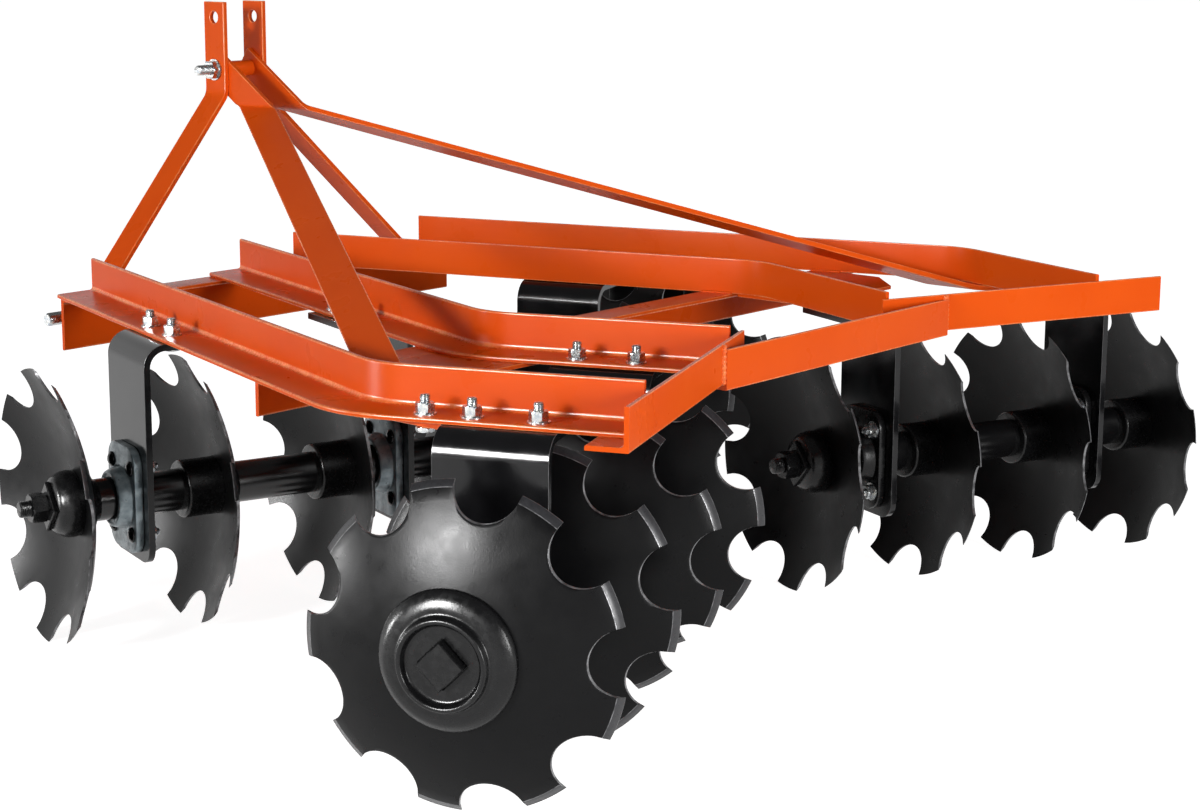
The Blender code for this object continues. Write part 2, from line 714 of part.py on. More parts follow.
def mast_bolt(paint):
    """The bolt through both lugs and braces, with its nut and spacer tube as one turned body."""
    inside = LUG_HALF_GAP - BAR_WALL - 2.0 * SEAT
    outside = LUG_HALF_GAP + BAR_WALL + SEAT
    nut_end = -outside - BOLT_NUT_LENGTH
    rings = [circle(MAST_BOLT_RADIUS, x) for x in (-outside - BOLT_TAIL_LENGTH, nut_end)]
    rings += [circle(BOLT_HEAD_RADIUS, x, NUT_SIDES) for x in (nut_end, -outside)]
    rings += [circle(MAST_BOLT_RADIUS, x) for x in (-outside, -inside)]
    rings += [circle(SPACER_RADIUS, x) for x in (-inside, inside)]
    rings += [circle(MAST_BOLT_RADIUS, x) for x in (inside, outside)]
    rings += [circle(BOLT_HEAD_RADIUS, x, NUT_SIDES) for x in (outside, outside + BOLT_HEAD_LENGTH)]
    bolt = finish_object("mast_bolt", ring_body(rings, bored=False), paint)
    bolt.location = (0.0, MAST_Y, MAST_BOLT_Z)


def hitch_pin(name, side, paint):
    """A lower hitch pin through the foot of the mast, with its collar inside the foot."""
    inner = MAST_FOOT_X - BAR_WALL / 2.0 - SEAT
    rings = [circle(PIN_COLLAR_RADIUS, side * x) for x in (inner - PIN_IN, inner)]
    rings += [circle(PIN_RADIUS, side * x) for x in (inner, MAST_FOOT_X + PIN_OUT)]
    pin = finish_object(name, ring_body(rings, bored=False), paint)
    pin.location = (0.0, MAST_FOOT_Y, PIN_Z)


def centre_machine():
    """Move everything so that the origin lies under the middle of the machine's length."""
    outermost = gang_frame(1, -1)[0] + gang_frame(1, -1)[1] * DISC_SPACING * (DISCS_PER_GANG - 1)
    rearmost = outermost.y - DISC_RADIUS * math.cos(REAR_ANGLE)
    foremost = MAST_Y + BAR_WIDTH / 2.0
    for item in bpy.data.objects:
        if item.parent is None:
            item.location.y -= (foremost + rearmost) / 2.0


# Gangs: name, side, end, and the turn of each disc's notches as a share of their pitch
GANG_TURN_SHARES = (
    ("front_left", -1, 1, (0.71, 0.93, 0.31, 0.50)),
    ("front_right", 1, 1, (0.12, 0.75, 0.38, 0.55)),
    ("rear_left", -1, -1, (0.00, 0.36, 0.62, 0.32)),
    ("rear_right", 1, -1, (0.58, 0.99, 0.87, 0.04)),
)


def build():
    for leftover in list(bpy.data.objects):
        bpy.data.objects.remove(leftover, do_unlink=True)
    paints = {
        "orange": material("orange_paint", (0.78, 0.11, 0.025), 0.35, 0.0),
        "black": material("black_paint", (0.012, 0.012, 0.013), 0.35, 0.0),
        "disc": material("black_disc_steel", (0.02, 0.02, 0.022), 0.42, 0.3),
        "zinc": material("zinc_plate", (0.55, 0.57, 0.60), 0.35, 0.9),
    }
    for gang_name, side, end, turn_shares in GANG_TURN_SHARES:
        gang_spin(gang_name, side, end, turn_shares, paints)
        gang_support(gang_name, side, end, paints)
    for name, side, place in (("beam_left_outer", -1, "outer"), ("beam_left_inner", -1, "inner"),
                              ("beam_right_inner", 1, "inner"), ("beam_right_outer", 1, "outer")):
        beam(name, side, place, paints["orange"])
    cross_iron("cross_iron_front", CROSS_FRONT_Y, CROSS_FRONT_HALF, CROSS_FRONT_UP, paints["orange"])
    cross_iron("cross_iron_middle", CROSS_MIDDLE_Y, CROSS_MIDDLE_HALF, CROSS_MIDDLE_UP, paints["orange"])
    rear_side("rear_iron_left", -1, paints["orange"])
    rear_side("rear_iron_right", 1, paints["orange"])
    rear_centre(paints["orange"])
    for label, side in (("left", -1), ("right", 1)):
        frame_plate("frame_plate_" + label, side, paints["orange"])
        mast_leg("mast_leg_" + label, side, paints["orange"])
        brace("brace_" + label, side, paints["orange"])
        hitch_pin("hitch_pin_" + label, side, paints["zinc"])
    mast_bolt(paints["zinc"])
    centre_machine()


build()
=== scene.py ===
"""Looks of a disc harrow for a three-point hitch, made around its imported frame.

Metres, +Z up, +Y the way it travels, +X its right side. The sections follow the machine as it is put
together: discs, arbors, bearings, hangers, frame irons, mast and fasteners.
"""
import json
import math

import bmesh
import bpy
import numpy as np
from mathutils import Matrix, Vector
from mathutils.geometry import tessellate_polygon


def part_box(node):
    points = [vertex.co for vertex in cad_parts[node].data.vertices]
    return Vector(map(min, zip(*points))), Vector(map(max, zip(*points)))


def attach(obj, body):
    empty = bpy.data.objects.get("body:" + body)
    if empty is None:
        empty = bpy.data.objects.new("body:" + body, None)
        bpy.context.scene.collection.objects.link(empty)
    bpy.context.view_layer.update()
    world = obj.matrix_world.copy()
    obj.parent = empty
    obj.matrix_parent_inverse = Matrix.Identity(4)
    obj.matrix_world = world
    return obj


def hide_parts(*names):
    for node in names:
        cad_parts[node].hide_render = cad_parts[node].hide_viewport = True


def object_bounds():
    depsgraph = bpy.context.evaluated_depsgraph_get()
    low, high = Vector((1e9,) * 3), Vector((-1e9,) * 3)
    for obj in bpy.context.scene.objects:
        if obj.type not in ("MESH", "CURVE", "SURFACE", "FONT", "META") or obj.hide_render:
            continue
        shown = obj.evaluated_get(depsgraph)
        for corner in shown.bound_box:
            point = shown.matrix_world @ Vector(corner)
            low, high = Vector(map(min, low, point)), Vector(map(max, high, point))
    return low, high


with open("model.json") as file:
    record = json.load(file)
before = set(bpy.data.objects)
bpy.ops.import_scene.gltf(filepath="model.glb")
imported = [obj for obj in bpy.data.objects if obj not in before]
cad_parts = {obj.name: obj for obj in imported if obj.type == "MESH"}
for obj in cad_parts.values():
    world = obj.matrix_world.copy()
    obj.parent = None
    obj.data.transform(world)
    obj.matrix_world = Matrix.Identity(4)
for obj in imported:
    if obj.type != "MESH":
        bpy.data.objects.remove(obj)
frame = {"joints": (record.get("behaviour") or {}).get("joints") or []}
scene = bpy.context.scene
cad_low, cad_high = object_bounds()

# Camera: a long lens behind the machine's left rear corner, a little above the mast's lugs.
# Its place and turn put the discs' rims and the frame irons where the photograph has them.
IMAGE_WIDTH = 1200
IMAGE_HEIGHT = 812
SENSOR_WIDTH = 36.0
CAMERA_PLACE = (-2.642, -2.324, 1.031)
CAMERA_YAW = 0.866
CAMERA_PITCH = 0.185
CAMERA_ROLL = 0.0044
FOCAL_PIXELS = 2242.6
CENTRE_PIXEL_X = 586.3
CENTRE_PIXEL_Y = 351.3

forward = np.array([math.sin(CAMERA_YAW) * math.cos(CAMERA_PITCH),
                    math.cos(CAMERA_YAW) * math.cos(CAMERA_PITCH), -math.sin(CAMERA_PITCH)])
level_right = np.array([math.cos(CAMERA_YAW), -math.sin(CAMERA_YAW), 0.0])
level_up = np.cross(level_right, forward)
right = level_right * math.cos(CAMERA_ROLL) + level_up * math.sin(CAMERA_ROLL)
upward = level_up * math.cos(CAMERA_ROLL) - level_right * math.sin(CAMERA_ROLL)

lens = bpy.data.cameras.new("camera")
lens.sensor_width = SENSOR_WIDTH
lens.lens = SENSOR_WIDTH * FOCAL_PIXELS / IMAGE_WIDTH
lens.shift_x = (IMAGE_WIDTH / 2.0 - CENTRE_PIXEL_X) / IMAGE_WIDTH
lens.shift_y = (CENTRE_PIXEL_Y - IMAGE_HEIGHT / 2.0) / IMAGE_WIDTH
camera = bpy.data.objects.new("camera", lens)
facing = Matrix([[right[i], upward[i], -forward[i]] for i in range(3)])
camera.matrix_world = Matrix.Translation(CAMERA_PLACE) @ facing.to_4x4()
scene.collection.objects.link(camera)
scene.camera = camera
scene.view_settings.view_transform = "Standard"

# Studio: a white floor and sweep under a dark ceiling, a soft box far on the left and another behind, and
# two that show only in gloss: one for the sheen of the discs, one for the glints at the beams' bends.
# The floor keeps the machine's shadow; what looks white is white to the eye and in reflections only.
FLOOR_HALF = 30.0
FLOOR_DROP = 0.0005
FLOOR_GREY = 0.80
FLOOR_GLOW = 0.88
AMBIENT = 0.62
SWEEP_TOP = 0.26
CEILING_START = 0.58
CEILING_SHARE = 0.15
WHITE = (1.0, 1.0, 1.0, 1.0)
SOFT_BOXES = (
    # name, place, aimed at, size, watts, whether it also lights what is matt
    ("left_panel", (-7.36, 0.3, 2.16), (0.0, 0.0, 0.4), 1.28, 290.0, True),
    ("rear_panel", (-0.9, -4.6, 1.15), (0.1, 0.0, 0.4), 1.2, 134.0, True),
    ("gloss_panel", (-4.7, -0.4, 1.75), (-0.6, -0.4, 0.3), 1.2, 480.0, False),
    ("bend_panel", (-3.6, 2.7, 0.48), (0.3, 0.0, 0.45), 0.7, 150.0, False),
)


def add_node(tree, kind, inputs=None, **settings):
    """Add one node with its own settings; each input is a value or another node's output socket."""
    node = tree.nodes.new(kind)
    for key, value in settings.items():
        setattr(node, key, value)
    for key, value in (inputs or {}).items():
        if isinstance(value, bpy.types.NodeSocket):
            tree.links.new(value, node.inputs[key])
        else:
            node.inputs[key].default_value = value
    return node


def seen_directly(tree):
    """1 for rays from the eye, a mirror-like surface or glass, otherwise 0: the largest of three."""
    rays = add_node(tree, "ShaderNodeLightPath").outputs
    eye_or_gloss = add_node(tree, "ShaderNodeMath", {0: rays["Is Camera Ray"], 1: rays["Is Glossy Ray"]},
                            operation="MAXIMUM").outputs[0]
    return add_node(tree, "ShaderNodeMath", {0: eye_or_gloss, 1: rays["Is Transmission Ray"]},
                    operation="MAXIMUM").outputs[0]


world = bpy.data.worlds.new("studio")
world.use_nodes = True
tree = world.node_tree
tree.nodes.clear()
direction = add_node(tree, "ShaderNodeTexCoord").outputs["Generated"]
way_up = add_node(tree, "ShaderNodeSeparateXYZ", {0: direction}).outputs["Z"]
ceiling = add_node(tree, "ShaderNodeMapRange",
                   {"Value": way_up, "From Min": SWEEP_TOP, "From Max": CEILING_START, "To Min": 1.0,
                    "To Max": CEILING_SHARE}, interpolation_type="SMOOTHSTEP").outputs[0]
dimmed = add_node(tree, "ShaderNodeMath", {0: ceiling, 1: AMBIENT}, operation="MULTIPLY").outputs[0]
room = add_node(tree, "ShaderNodeBackground", {"Strength": dimmed, "Color": WHITE}).outputs[0]
backdrop = add_node(tree, "ShaderNodeBackground", {"Strength": ceiling, "Color": WHITE}).outputs[0]
sky = add_node(tree, "ShaderNodeMixShader", {0: seen_directly(tree), 1: room, 2: backdrop}).outputs[0]
add_node(tree, "ShaderNodeOutputWorld", {"Surface": sky})
scene.world = world

paper = bpy.data.materials.new("white_studio_paper")
paper.use_nodes = True
tree = paper.node_tree
tree.nodes.clear()
grey = (FLOOR_GREY, FLOOR_GREY, FLOOR_GREY, 1.0)
matt = add_node(tree, "ShaderNodeBsdfDiffuse", {"Color": grey}).outputs[0]
lit = add_node(tree, "ShaderNodeMath", {0: seen_directly(tree), 1: FLOOR_GLOW},
               operation="MULTIPLY").outputs[0]
glow = add_node(tree, "ShaderNodeEmission", {"Strength": lit, "Color": WHITE}).outputs[0]
both = add_node(tree, "ShaderNodeAddShader", {0: matt, 1: glow}).outputs[0]
add_node(tree, "ShaderNodeOutputMaterial", {"Surface": both})

floor_mesh = bpy.data.meshes.new("floor")
floor_level = cad_low.z - FLOOR_DROP
floor_mesh.from_pydata([(x * FLOOR_HALF, y * FLOOR_HALF, floor_level)
                        for x, y in ((-1, -1), (1, -1), (1, 1), (-1, 1))], [], [(0, 1, 2, 3)])
floor_mesh.materials.append(paper)
floor = bpy.data.objects.new("floor", floor_mesh)
scene.collection.objects.link(floor)

for box_name, place, aim, size, watts, lights_matt in SOFT_BOXES:
    lamp = bpy.data.lights.new(box_name, "AREA")
    lamp.size = size
    lamp.energy = watts
    lamp_object = bpy.data.objects.new(box_name, lamp)
    way = np.array(aim) - np.array(place)
    lamp_object.rotation_euler = (math.atan2(math.hypot(way[0], way[1]), -way[2]), 0.0,
                                  math.atan2(-way[0], way[1]))
    lamp_object.location = place
    lamp_object.visible_diffuse = lights_matt
    scene.collection.objects.link(lamp_object)

# Notched discs: dished from 4.5 mm spring steel, nine notches punched in the rim, the tips ground to an
# edge on the bulging face, dipped in satin black. Each is clamped on the square arbor at its flat centre.
DISC_RADIUS = 0.2032
DISC_WALL = 0.0045
DISC_DISH = 0.050
DISC_FLAT_RADIUS = 0.052
DISC_SHOULDER_RADIUS = 0.148
DISC_SPACING = 0.2175
DISCS_PER_GANG = 4
DISC_RINGS = 9
RIM_ROW_SHARES = (0.35, 0.7, 1.0)
NOTCHES = 9
NOTCH_DEPTH = 0.043
TIP_SHARE = 0.4
TIP_COLUMNS = 12
NOTCH_COLUMNS = 24
GROUND_WIDTH = 0.0085
GROUND_EDGE = 0.0012
# Share of the strip from the rim's edge to the bulging face that the painted highlight line leaves beside
# it.
EDGE_HIGHLIGHT_LINE_SHARE = 0.10
NOTCH_CHAMFER = 0.0006
HUB_SQUARE = 0.0262
DISC_TURN_SHARES = {
    "front_left": (0.71, 0.93, 0.31, 0.50),
    "front_right": (0.12, 0.75, 0.38, 0.55),
    "rear_left": (0.00, 0.36, 0.62, 0.32),
    "rear_right": (0.58, 0.99, 0.87, 0.04),
}
MILLIMETRE = 0.001
NOISE_LOW = 0.3
NOISE_HIGH = 0.7


def linear(hex_colour):
    """An sRGB hex colour as linear RGBA: small values over 12.92, the rest along the 2.4 power curve."""
    value = hex_colour.lstrip("#")
    share = [int(value[i:i + 2], 16) / 255.0 for i in (0, 2, 4)]
    return tuple(c / 12.92 if c <= 0.04045 else ((c + 0.055) / 1.055) ** 2.4 for c in share) + (1.0,)


def surface_finish(name, tones, tone_grain, gloss, gloss_grain, relief=(), depth_mm=0.0, strength=1.0,
                   specular=0.5, metallic=0.0, patchy=True):
    """A Principled material whose patterns are noises of a real size; a grain is (millimetres, detail).

    One noise blends the two tones; where it is patchy, its middle range is drawn out to the full one. A
    second leads the roughness between its two values in the same way. The sum of the relief noises tilts
    the normal as a height that is worth the given depth.
    """
    made = bpy.data.materials.new(name)
    made.use_nodes = True
    tree = made.node_tree
    shader = tree.nodes["Principled BSDF"]
    where = add_node(tree, "ShaderNodeTexCoord").outputs["Object"]
    middle = {"From Min": NOISE_LOW, "From Max": NOISE_HIGH}
    share, shine, *heights = [
        add_node(tree, "ShaderNodeTexNoise", {"Vector": where, "Scale": 1.0 / (size_mm * MILLIMETRE),
                                              "Detail": detail}).outputs["Fac"]
        for size_mm, detail in (tone_grain, gloss_grain, *relief)]
    if patchy:
        share = add_node(tree, "ShaderNodeMapRange",
                         {"Value": share, **middle, "To Min": 0.0, "To Max": 1.0}).outputs[0]
    rough = add_node(tree, "ShaderNodeMapRange",
                     {"Value": shine, **middle, "To Min": gloss[0], "To Max": gloss[1]}).outputs[0]
    tone = add_node(tree, "ShaderNodeMix", {0: share, 6: linear(tones[0]), 7: linear(tones[1])},
                    data_type="RGBA").outputs[2]
    tree.links.new(tone, shader.inputs["Base Color"])
    tree.links.new(rough, shader.inputs["Roughness"])
    shader.inputs["Specular IOR Level"].default_value = specular
    shader.inputs["Metallic"].default_value = metallic
    if heights:
        height = heights[0]
        for finer in heights[1:]:
            height = add_node(tree, "ShaderNodeMath", {0: height, 1: finer}, operation="ADD").outputs[0]
        bump = add_node(tree, "ShaderNodeBump", {"Height": height, "Distance": depth_mm * MILLIMETRE,
                                                 "Strength": strength})
        tree.links.new(bump.outputs[0], shader.inputs["Normal"])
    return made


def skin(grid, wrapped=False, paint=0):
    """Points, faces and paint numbers of a grid, rows along and columns round.

    Each cell is a quad; the first and last rows are closed by flat ends, unless the last wraps round to
    the first.
    """
    rows, columns = grid.shape[:2]
    number = np.arange(rows * columns).reshape(rows, columns)
    if wrapped:
        number = np.vstack([number, number[:1]])
    beside = np.roll(number, -1, axis=1)
    quads = np.stack([number[:-1], beside[:-1], beside[1:], number[1:]], axis=-1).reshape(-1, 4).tolist()
    if not wrapped:
        for row, ring in ((grid[0], number[0]), (grid[-1], number[-1])):
            triangles = tessellate_polygon([[Vector(point) for point in row]])
            quads += [[int(ring[corner]) for corner in triangle] for triangle in triangles]
    return grid.reshape(-1, 3), quads, [paint] * len(quads)


def face_outward(mesh):
    """Turn every face of a mesh of closed shells outward."""
    shell = bmesh.new()
    shell.from_mesh(mesh)
    bmesh.ops.recalc_face_normals(shell, faces=shell.faces)
    shell.to_mesh(mesh)
    shell.free()


def make_piece(name, skins, paints, body, nodes, crease=38.0):
    """Join closed skins into one object at the origin, faces outward, and fix it to its body."""
    points = np.vstack([each[0] for each in skins])
    faces = []
    numbers = []
    first = 0
    for skin_points, skin_faces, skin_numbers in skins:
        faces += [[number + first for number in face] for face in skin_faces]
        numbers += list(skin_numbers)
        first += len(skin_points)
    mesh = bpy.data.meshes.new(name)
    mesh.from_pydata(points.tolist(), [], faces)
    for paint in paints:
        mesh.materials.append(paint)
    mesh.polygons.foreach_set("material_index", np.asarray(numbers, np.int32))
    face_outward(mesh)
    mesh.shade_smooth()
    mesh.set_sharp_from_angle(angle=math.radians(crease))
    made = bpy.data.objects.new(name, mesh)
    scene.collection.objects.link(made)
    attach(made, body)
    if nodes:
        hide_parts(*nodes)
    return made


def gang_space(gang_name):
    """Origin and axes of a gang, as rows: along its arbor the way the discs bulge, level, and up."""
    joint = next(joint for joint in frame["joints"] if joint["child"] == "gang_" + gang_name)
    axis = np.array(joint["axis"])
    return np.array(joint["pos_m"]), np.array([axis, (-axis[1], axis[0], 0.0), (0.0, 0.0, 1.0)])


def placed(grid, space):
    """Points in a gang's own axes turned and moved to where the gang is."""
    origin, axes = space
    return origin + grid @ axes


def square_radius(side, turns):
    """Distance to a square that stands on one corner, by the turn about its middle.

    It is the side times the square root of a half, over the sum of the turn's cosine and sine.
    """
    return side * math.sqrt(0.5) / (np.abs(np.cos(turns)) + np.abs(np.sin(turns)))


def notched_outline(turn_share):
    """Turn and radius of the rim: nine arcs of the full circle joined by nine round notches.

    A notch is an arc through two tip corners whose depth is given: its radius is
    (rise^2 + half width^2) / (2 rise), where rise is the depth below the corners' chord.
    """
    pitch = 2.0 * math.pi / NOTCHES
    half = (1.0 - TIP_SHARE) * pitch / 2.0
    rise = DISC_RADIUS * math.cos(half) - (DISC_RADIUS - NOTCH_DEPTH)
    chord = DISC_RADIUS * math.sin(half)
    arc = (rise ** 2 + chord ** 2) / (2.0 * rise)
    centre = DISC_RADIUS - NOTCH_DEPTH + arc
    reach = math.atan2(chord, centre - DISC_RADIUS * math.cos(half))
    swing = np.linspace(-reach, reach, NOTCH_COLUMNS + 2)[1:-1]
    aside = arc * np.sin(swing)
    out = centre - arc * np.cos(swing)
    tip_turns = np.linspace(0.0, TIP_SHARE * pitch, TIP_COLUMNS)
    notch_turns = (1.0 + TIP_SHARE) / 2.0 * pitch + np.arctan2(aside, out)
    turns = np.concatenate([tip_turns, notch_turns])
    radii = np.concatenate([np.full(TIP_COLUMNS, DISC_RADIUS), np.hypot(aside, out)])
    starts = (np.arange(NOTCHES) + turn_share) * pitch
    return (starts[:, None] + turns[None]).ravel(), np.tile(radii, NOTCHES)


def dish_rise(radius):
    """How far the plate has left its flat centre: it grows with the square of the radius, up to the
    full dish at the rim."""
    beyond = np.maximum(radius, DISC_FLAT_RADIUS)
    return DISC_DISH * (beyond ** 2 - DISC_FLAT_RADIUS ** 2) / (DISC_RADIUS ** 2 - DISC_FLAT_RADIUS ** 2)


def disc_grid(turn_share):
    """One disc: rows go from the hub hole over the hollow face to the rim and back over the bulging face.

    Out to the shoulder a point's turn is even round the disc; from there to the rim its turn and radius
    go over to those of the notched outline. Returns also how many rows the hollow face has, and which
    columns are on a tip.
    """
    rim_turns, rim_radii = notched_outline(turn_share)
    columns = len(rim_turns)
    even = rim_turns[0] + np.linspace(0.0, 2.0 * math.pi, columns, endpoint=False)
    tip = rim_radii > DISC_RADIUS - MILLIMETRE / 100.0
    inset = np.where(tip, GROUND_WIDTH, NOTCH_CHAMFER)
    half = DISC_WALL / 2.0
    rings = np.linspace(DISC_FLAT_RADIUS, DISC_SHOULDER_RADIUS, DISC_RINGS)
    shares = np.array(RIM_ROW_SHARES)[:, None]
    turns = np.vstack([np.tile(even, (1 + DISC_RINGS, 1)), even + (rim_turns - even) * shares])
    radii = np.vstack([square_radius(HUB_SQUARE, even), np.repeat(rings[:, None], columns, axis=1),
                       DISC_SHOULDER_RADIUS + (rim_radii - inset - DISC_SHOULDER_RADIUS) * shares])
    hollow = np.stack([-dish_rise(radii) - half, radii * np.cos(turns), radii * np.sin(turns)], axis=-1)
    bulge = hollow + np.array([DISC_WALL, 0.0, 0.0])
    wall = np.where(tip, GROUND_EDGE, DISC_WALL - NOTCH_CHAMFER)
    rim_x = -dish_rise(rim_radii) - half
    rim_y = rim_radii * np.cos(rim_turns)
    rim_z = rim_radii * np.sin(rim_turns)
    inner = np.stack([rim_x, rim_y, rim_z], axis=-1)
    outer = np.stack([rim_x + wall, rim_y, rim_z], axis=-1)
    line = outer + (bulge[-1] - outer) * (1.0 - EDGE_HIGHLIGHT_LINE_SHARE)
    return np.concatenate([hollow, [inner, outer, line], bulge[::-1]]), len(hollow), tip


disc_paints = [
    # Satin black dip enamel on rolled steel: its faint waves and sags show only in its sheen.
    surface_finish("satin_black_dip_enamel", ("#0A0A0B", "#101011"), (70.0, 3.0), (0.26, 0.36), (28.0, 5.0),
                   relief=((5.0, 4.0), (1.8, 2.0)), depth_mm=0.10, strength=0.8, specular=0.12,
                   patchy=False),
    # A tip's ground bevel: grinding marks under a thin film of black, drawn coarse enough to show.
    surface_finish("painted_ground_bevel", ("#1A1A1C", "#37373A"), (5.0, 3.0), (0.26, 0.42), (1.5, 3.0),
                   relief=((0.9, 3.0),), depth_mm=0.05, strength=0.5, specular=0.45, patchy=False),
    # Painted highlight: a light line of dull bright steel in broken patches along the rim's sharp edges,
    # standing in for the light they catch.
    surface_finish("painted_edge_highlight_steel", ("#2C2C2E", "#8E8E90"), (11.0, 4.0), (0.25, 0.45), (2.0, 3.0),
                   metallic=0.5),
]
GROUND_PAINT = 1
EDGE_HIGHLIGHT_PAINT = 2
for gang_name, turn_shares in DISC_TURN_SHARES.items():
    space = gang_space(gang_name)
    for index, turn_share in enumerate(turn_shares):
        grid, rows_in, tip = disc_grid(turn_share)
        grid[..., 0] += (index - (DISCS_PER_GANG - 1) / 2.0) * DISC_SPACING + DISC_DISH
        points, faces, _ = skin(placed(grid, space), wrapped=True)
        # The rim's edge face and a thin line at the bevel's inner border take the painted edge highlight; a
        # tip's ground bevel between them takes its own paint.
        numbers = np.zeros((len(grid), len(tip)), np.int32)
        numbers[rows_in] = EDGE_HIGHLIGHT_PAINT
        numbers[rows_in + 1] = np.where(tip & np.roll(tip, -1), GROUND_PAINT, EDGE_HIGHLIGHT_PAINT)
        numbers[rows_in + 2] = EDGE_HIGHLIGHT_PAINT
        name = "%s_%d" % (gang_name, index + 1)
        make_piece("notched_disc_" + name, [(points, faces, numbers.ravel())], disc_paints,
                   "gang_" + gang_name, ["disc_" + name], crease=50.0)

# Arbors: a square bar through each gang, clamping cast spools between the discs. A bell casting and the
# bar's forged square head close one end; a flared casting, square washer and nut close the other.
HOLD_GAP = 0.0003
SPOOL_RADIUS = 0.0315
FOOT_RADIUS = 0.0520
FOOT_LENGTH = 0.014
FOOT_ROUND = 0.0035
FOOT_FLANGE = ((0.0, 0.97), (0.5, 1.0), (1.0, 0.90))
FOOT_FILLET = ((1.05, 1.12), (1.9, 0.98))
COLLAR_RADIUS = 0.0440
COLLAR_LENGTH = 0.056
COLLAR_ROUND = 0.0018
COLLAR_LIP = 0.003
COLLAR_LIP_SHARE = 0.94
COLLAR_WAIST = (0.4, 0.985)
BAR_SQUARE = 0.0254
BELL_RADIUS = 0.0865
BELL_LENGTH = 0.024
BELL_RIM_RADIUS = 0.0555
BELL_RIM_INNER = 0.0500
BELL_THROAT_RADIUS = 0.047
BELL_RECESS = 0.010
BELL_EDGE = 0.005
BELL_ROUND = 0.004
BELL_DOME = ((0.20, 0.97), (0.46, 0.88), (0.60, 0.76))
BELL_RIM_FLARE = 1.05
BELL_SEAT_SHARE = 0.8
HEAD_SQUARE = 0.042
HEAD_LENGTH = 0.013
POCKET_SQUARE = 0.0445
POCKET_DEPTH = 0.005
END_CAST_RADIUS = 0.050
END_CAST_LENGTH = 0.036
END_NECK_RADIUS = 0.039
END_CAST_ROUND = 0.010
END_CAST_DOME = ((0.0, 0.96), (0.20, 1.0), (0.55, 0.97))
END_NECK_LENGTH = 0.004
END_NECK_SHARES = (1.06, 0.9)
END_WASHER_SQUARE = 0.052
END_WASHER_LENGTH = 0.008
NUT_RADIUS = 0.0225
NUT_LENGTH = 0.024
THREAD_RADIUS = 0.0125
THREAD_LENGTH = 0.016
THREAD_PITCH = 0.0025
THREAD_DEPTH_SHARE = 0.55
THREAD_TAPER_SHARE = 0.6
ROUND_COLUMNS = 72
CHAMFER_LENGTH_SHARE = 0.12
CHAMFER_MIDDLE_SHARE = 0.6
CHAMFER_REACH_SHARES = (0.90, 0.97)
PLATE_EASE_SHARES = (0.2, 0.03)
EASE_LIMIT_SHARE = 0.45


def turned(rows, columns=ROUND_COLUMNS):
    """A body turned about the X axis: a row is a place and a radius, one number or one for each column."""
    turns = np.linspace(0.0, 2.0 * math.pi, columns, endpoint=False)
    radii = np.array([np.broadcast_to(radius, columns) for _, radius in rows])
    places = np.repeat(np.array([place for place, _ in rows])[:, None], columns, axis=1)
    return np.stack([places, radii * np.cos(turns), radii * np.sin(turns)], axis=-1)


def eased(corners, radius, steps=4):
    """A line of points, flat or in space, with each inner corner rounded by a quadratic curve.

    The curve starts and ends at the given distance from the corner, or a little less than halfway to
    the corner beside it.
    """
    points = [corners[0]]
    for before, corner, after in zip(corners, corners[1:], corners[2:]):
        before, corner, after = np.array(before), np.array(corner), np.array(after)
        in_length = np.linalg.norm(before - corner)
        out_length = np.linalg.norm(after - corner)
        back = min(radius, in_length * EASE_LIMIT_SHARE, out_length * EASE_LIMIT_SHARE)
        start = corner + (before - corner) * back / max(in_length, 1e-9)
        end = corner + (after - corner) * back / max(out_length, 1e-9)
        for t in np.linspace(0.0, 1.0, steps + 1):
            points.append(tuple(start * (1 - t) ** 2 + corner * 2 * t * (1 - t) + end * t ** 2))
    return points + [corners[-1]]


def hexagon_radius(reach, turns):
    """Distance to a hexagon's side, by the turn about its middle; reach is the distance to a corner.

    It is the side's own distance over the cosine of the turn from the middle of that side.
    """
    return reach * math.cos(math.pi / 6.0) / np.cos(np.mod(turns, math.pi / 3.0) - math.pi / 6.0)


def threaded(start, end, radius, pitch, columns=28, rows_per_turn=6):
    """A threaded stud: the radius falls and rises once in a pitch along a helix, and tapers at its end."""
    turns = np.linspace(0.0, 2.0 * math.pi, columns, endpoint=False)
    count = max(int(abs(end - start) / pitch * rows_per_turn), 4)
    along = np.linspace(start, end, count)
    phase = np.mod(along[:, None] / pitch - turns[None] / (2.0 * math.pi), 1.0)
    depth = THREAD_DEPTH_SHARE * pitch * np.abs(phase * 2.0 - 1.0)
    taper = np.minimum(np.abs(along - end), pitch) / pitch
    radii = radius - depth - (1.0 - taper[:, None]) * pitch * THREAD_TAPER_SHARE
    grid = np.empty((count, columns, 3))
    grid[..., 0] = along[:, None]
    grid[..., 1] = radii * np.cos(turns)
    grid[..., 2] = radii * np.sin(turns)
    return grid


def hex_nut(start, end, reach, columns=ROUND_COLUMNS):
    """A hexagon nut or head: a full hexagon between two faces whose corners are turned off."""
    turns = np.linspace(0.0, 2.0 * math.pi, columns, endpoint=False)
    full = hexagon_radius(reach, turns)
    step = (end - start) * CHAMFER_LENGTH_SHARE
    cut, shoulder = [np.minimum(full, reach * share) for share in CHAMFER_REACH_SHARES]
    part_way = step * CHAMFER_MIDDLE_SHARE
    return turned([(start, cut), (start + part_way, shoulder), (start + step, full),
                   (end - step, full), (end - part_way, shoulder), (end, cut)], columns)


def square_plate(start, end, side, columns=ROUND_COLUMNS):
    """A square plate or head on one corner, its edges eased."""
    turns = np.linspace(0.0, 2.0 * math.pi, columns, endpoint=False)
    full = square_radius(side, turns)
    ease = min(abs(end - start) * PLATE_EASE_SHARES[0], side * PLATE_EASE_SHARES[1])
    way = math.copysign(ease, end - start)
    return turned([(start, full - ease), (start + way, full), (end - way, full), (end, full - ease)],
                  columns)


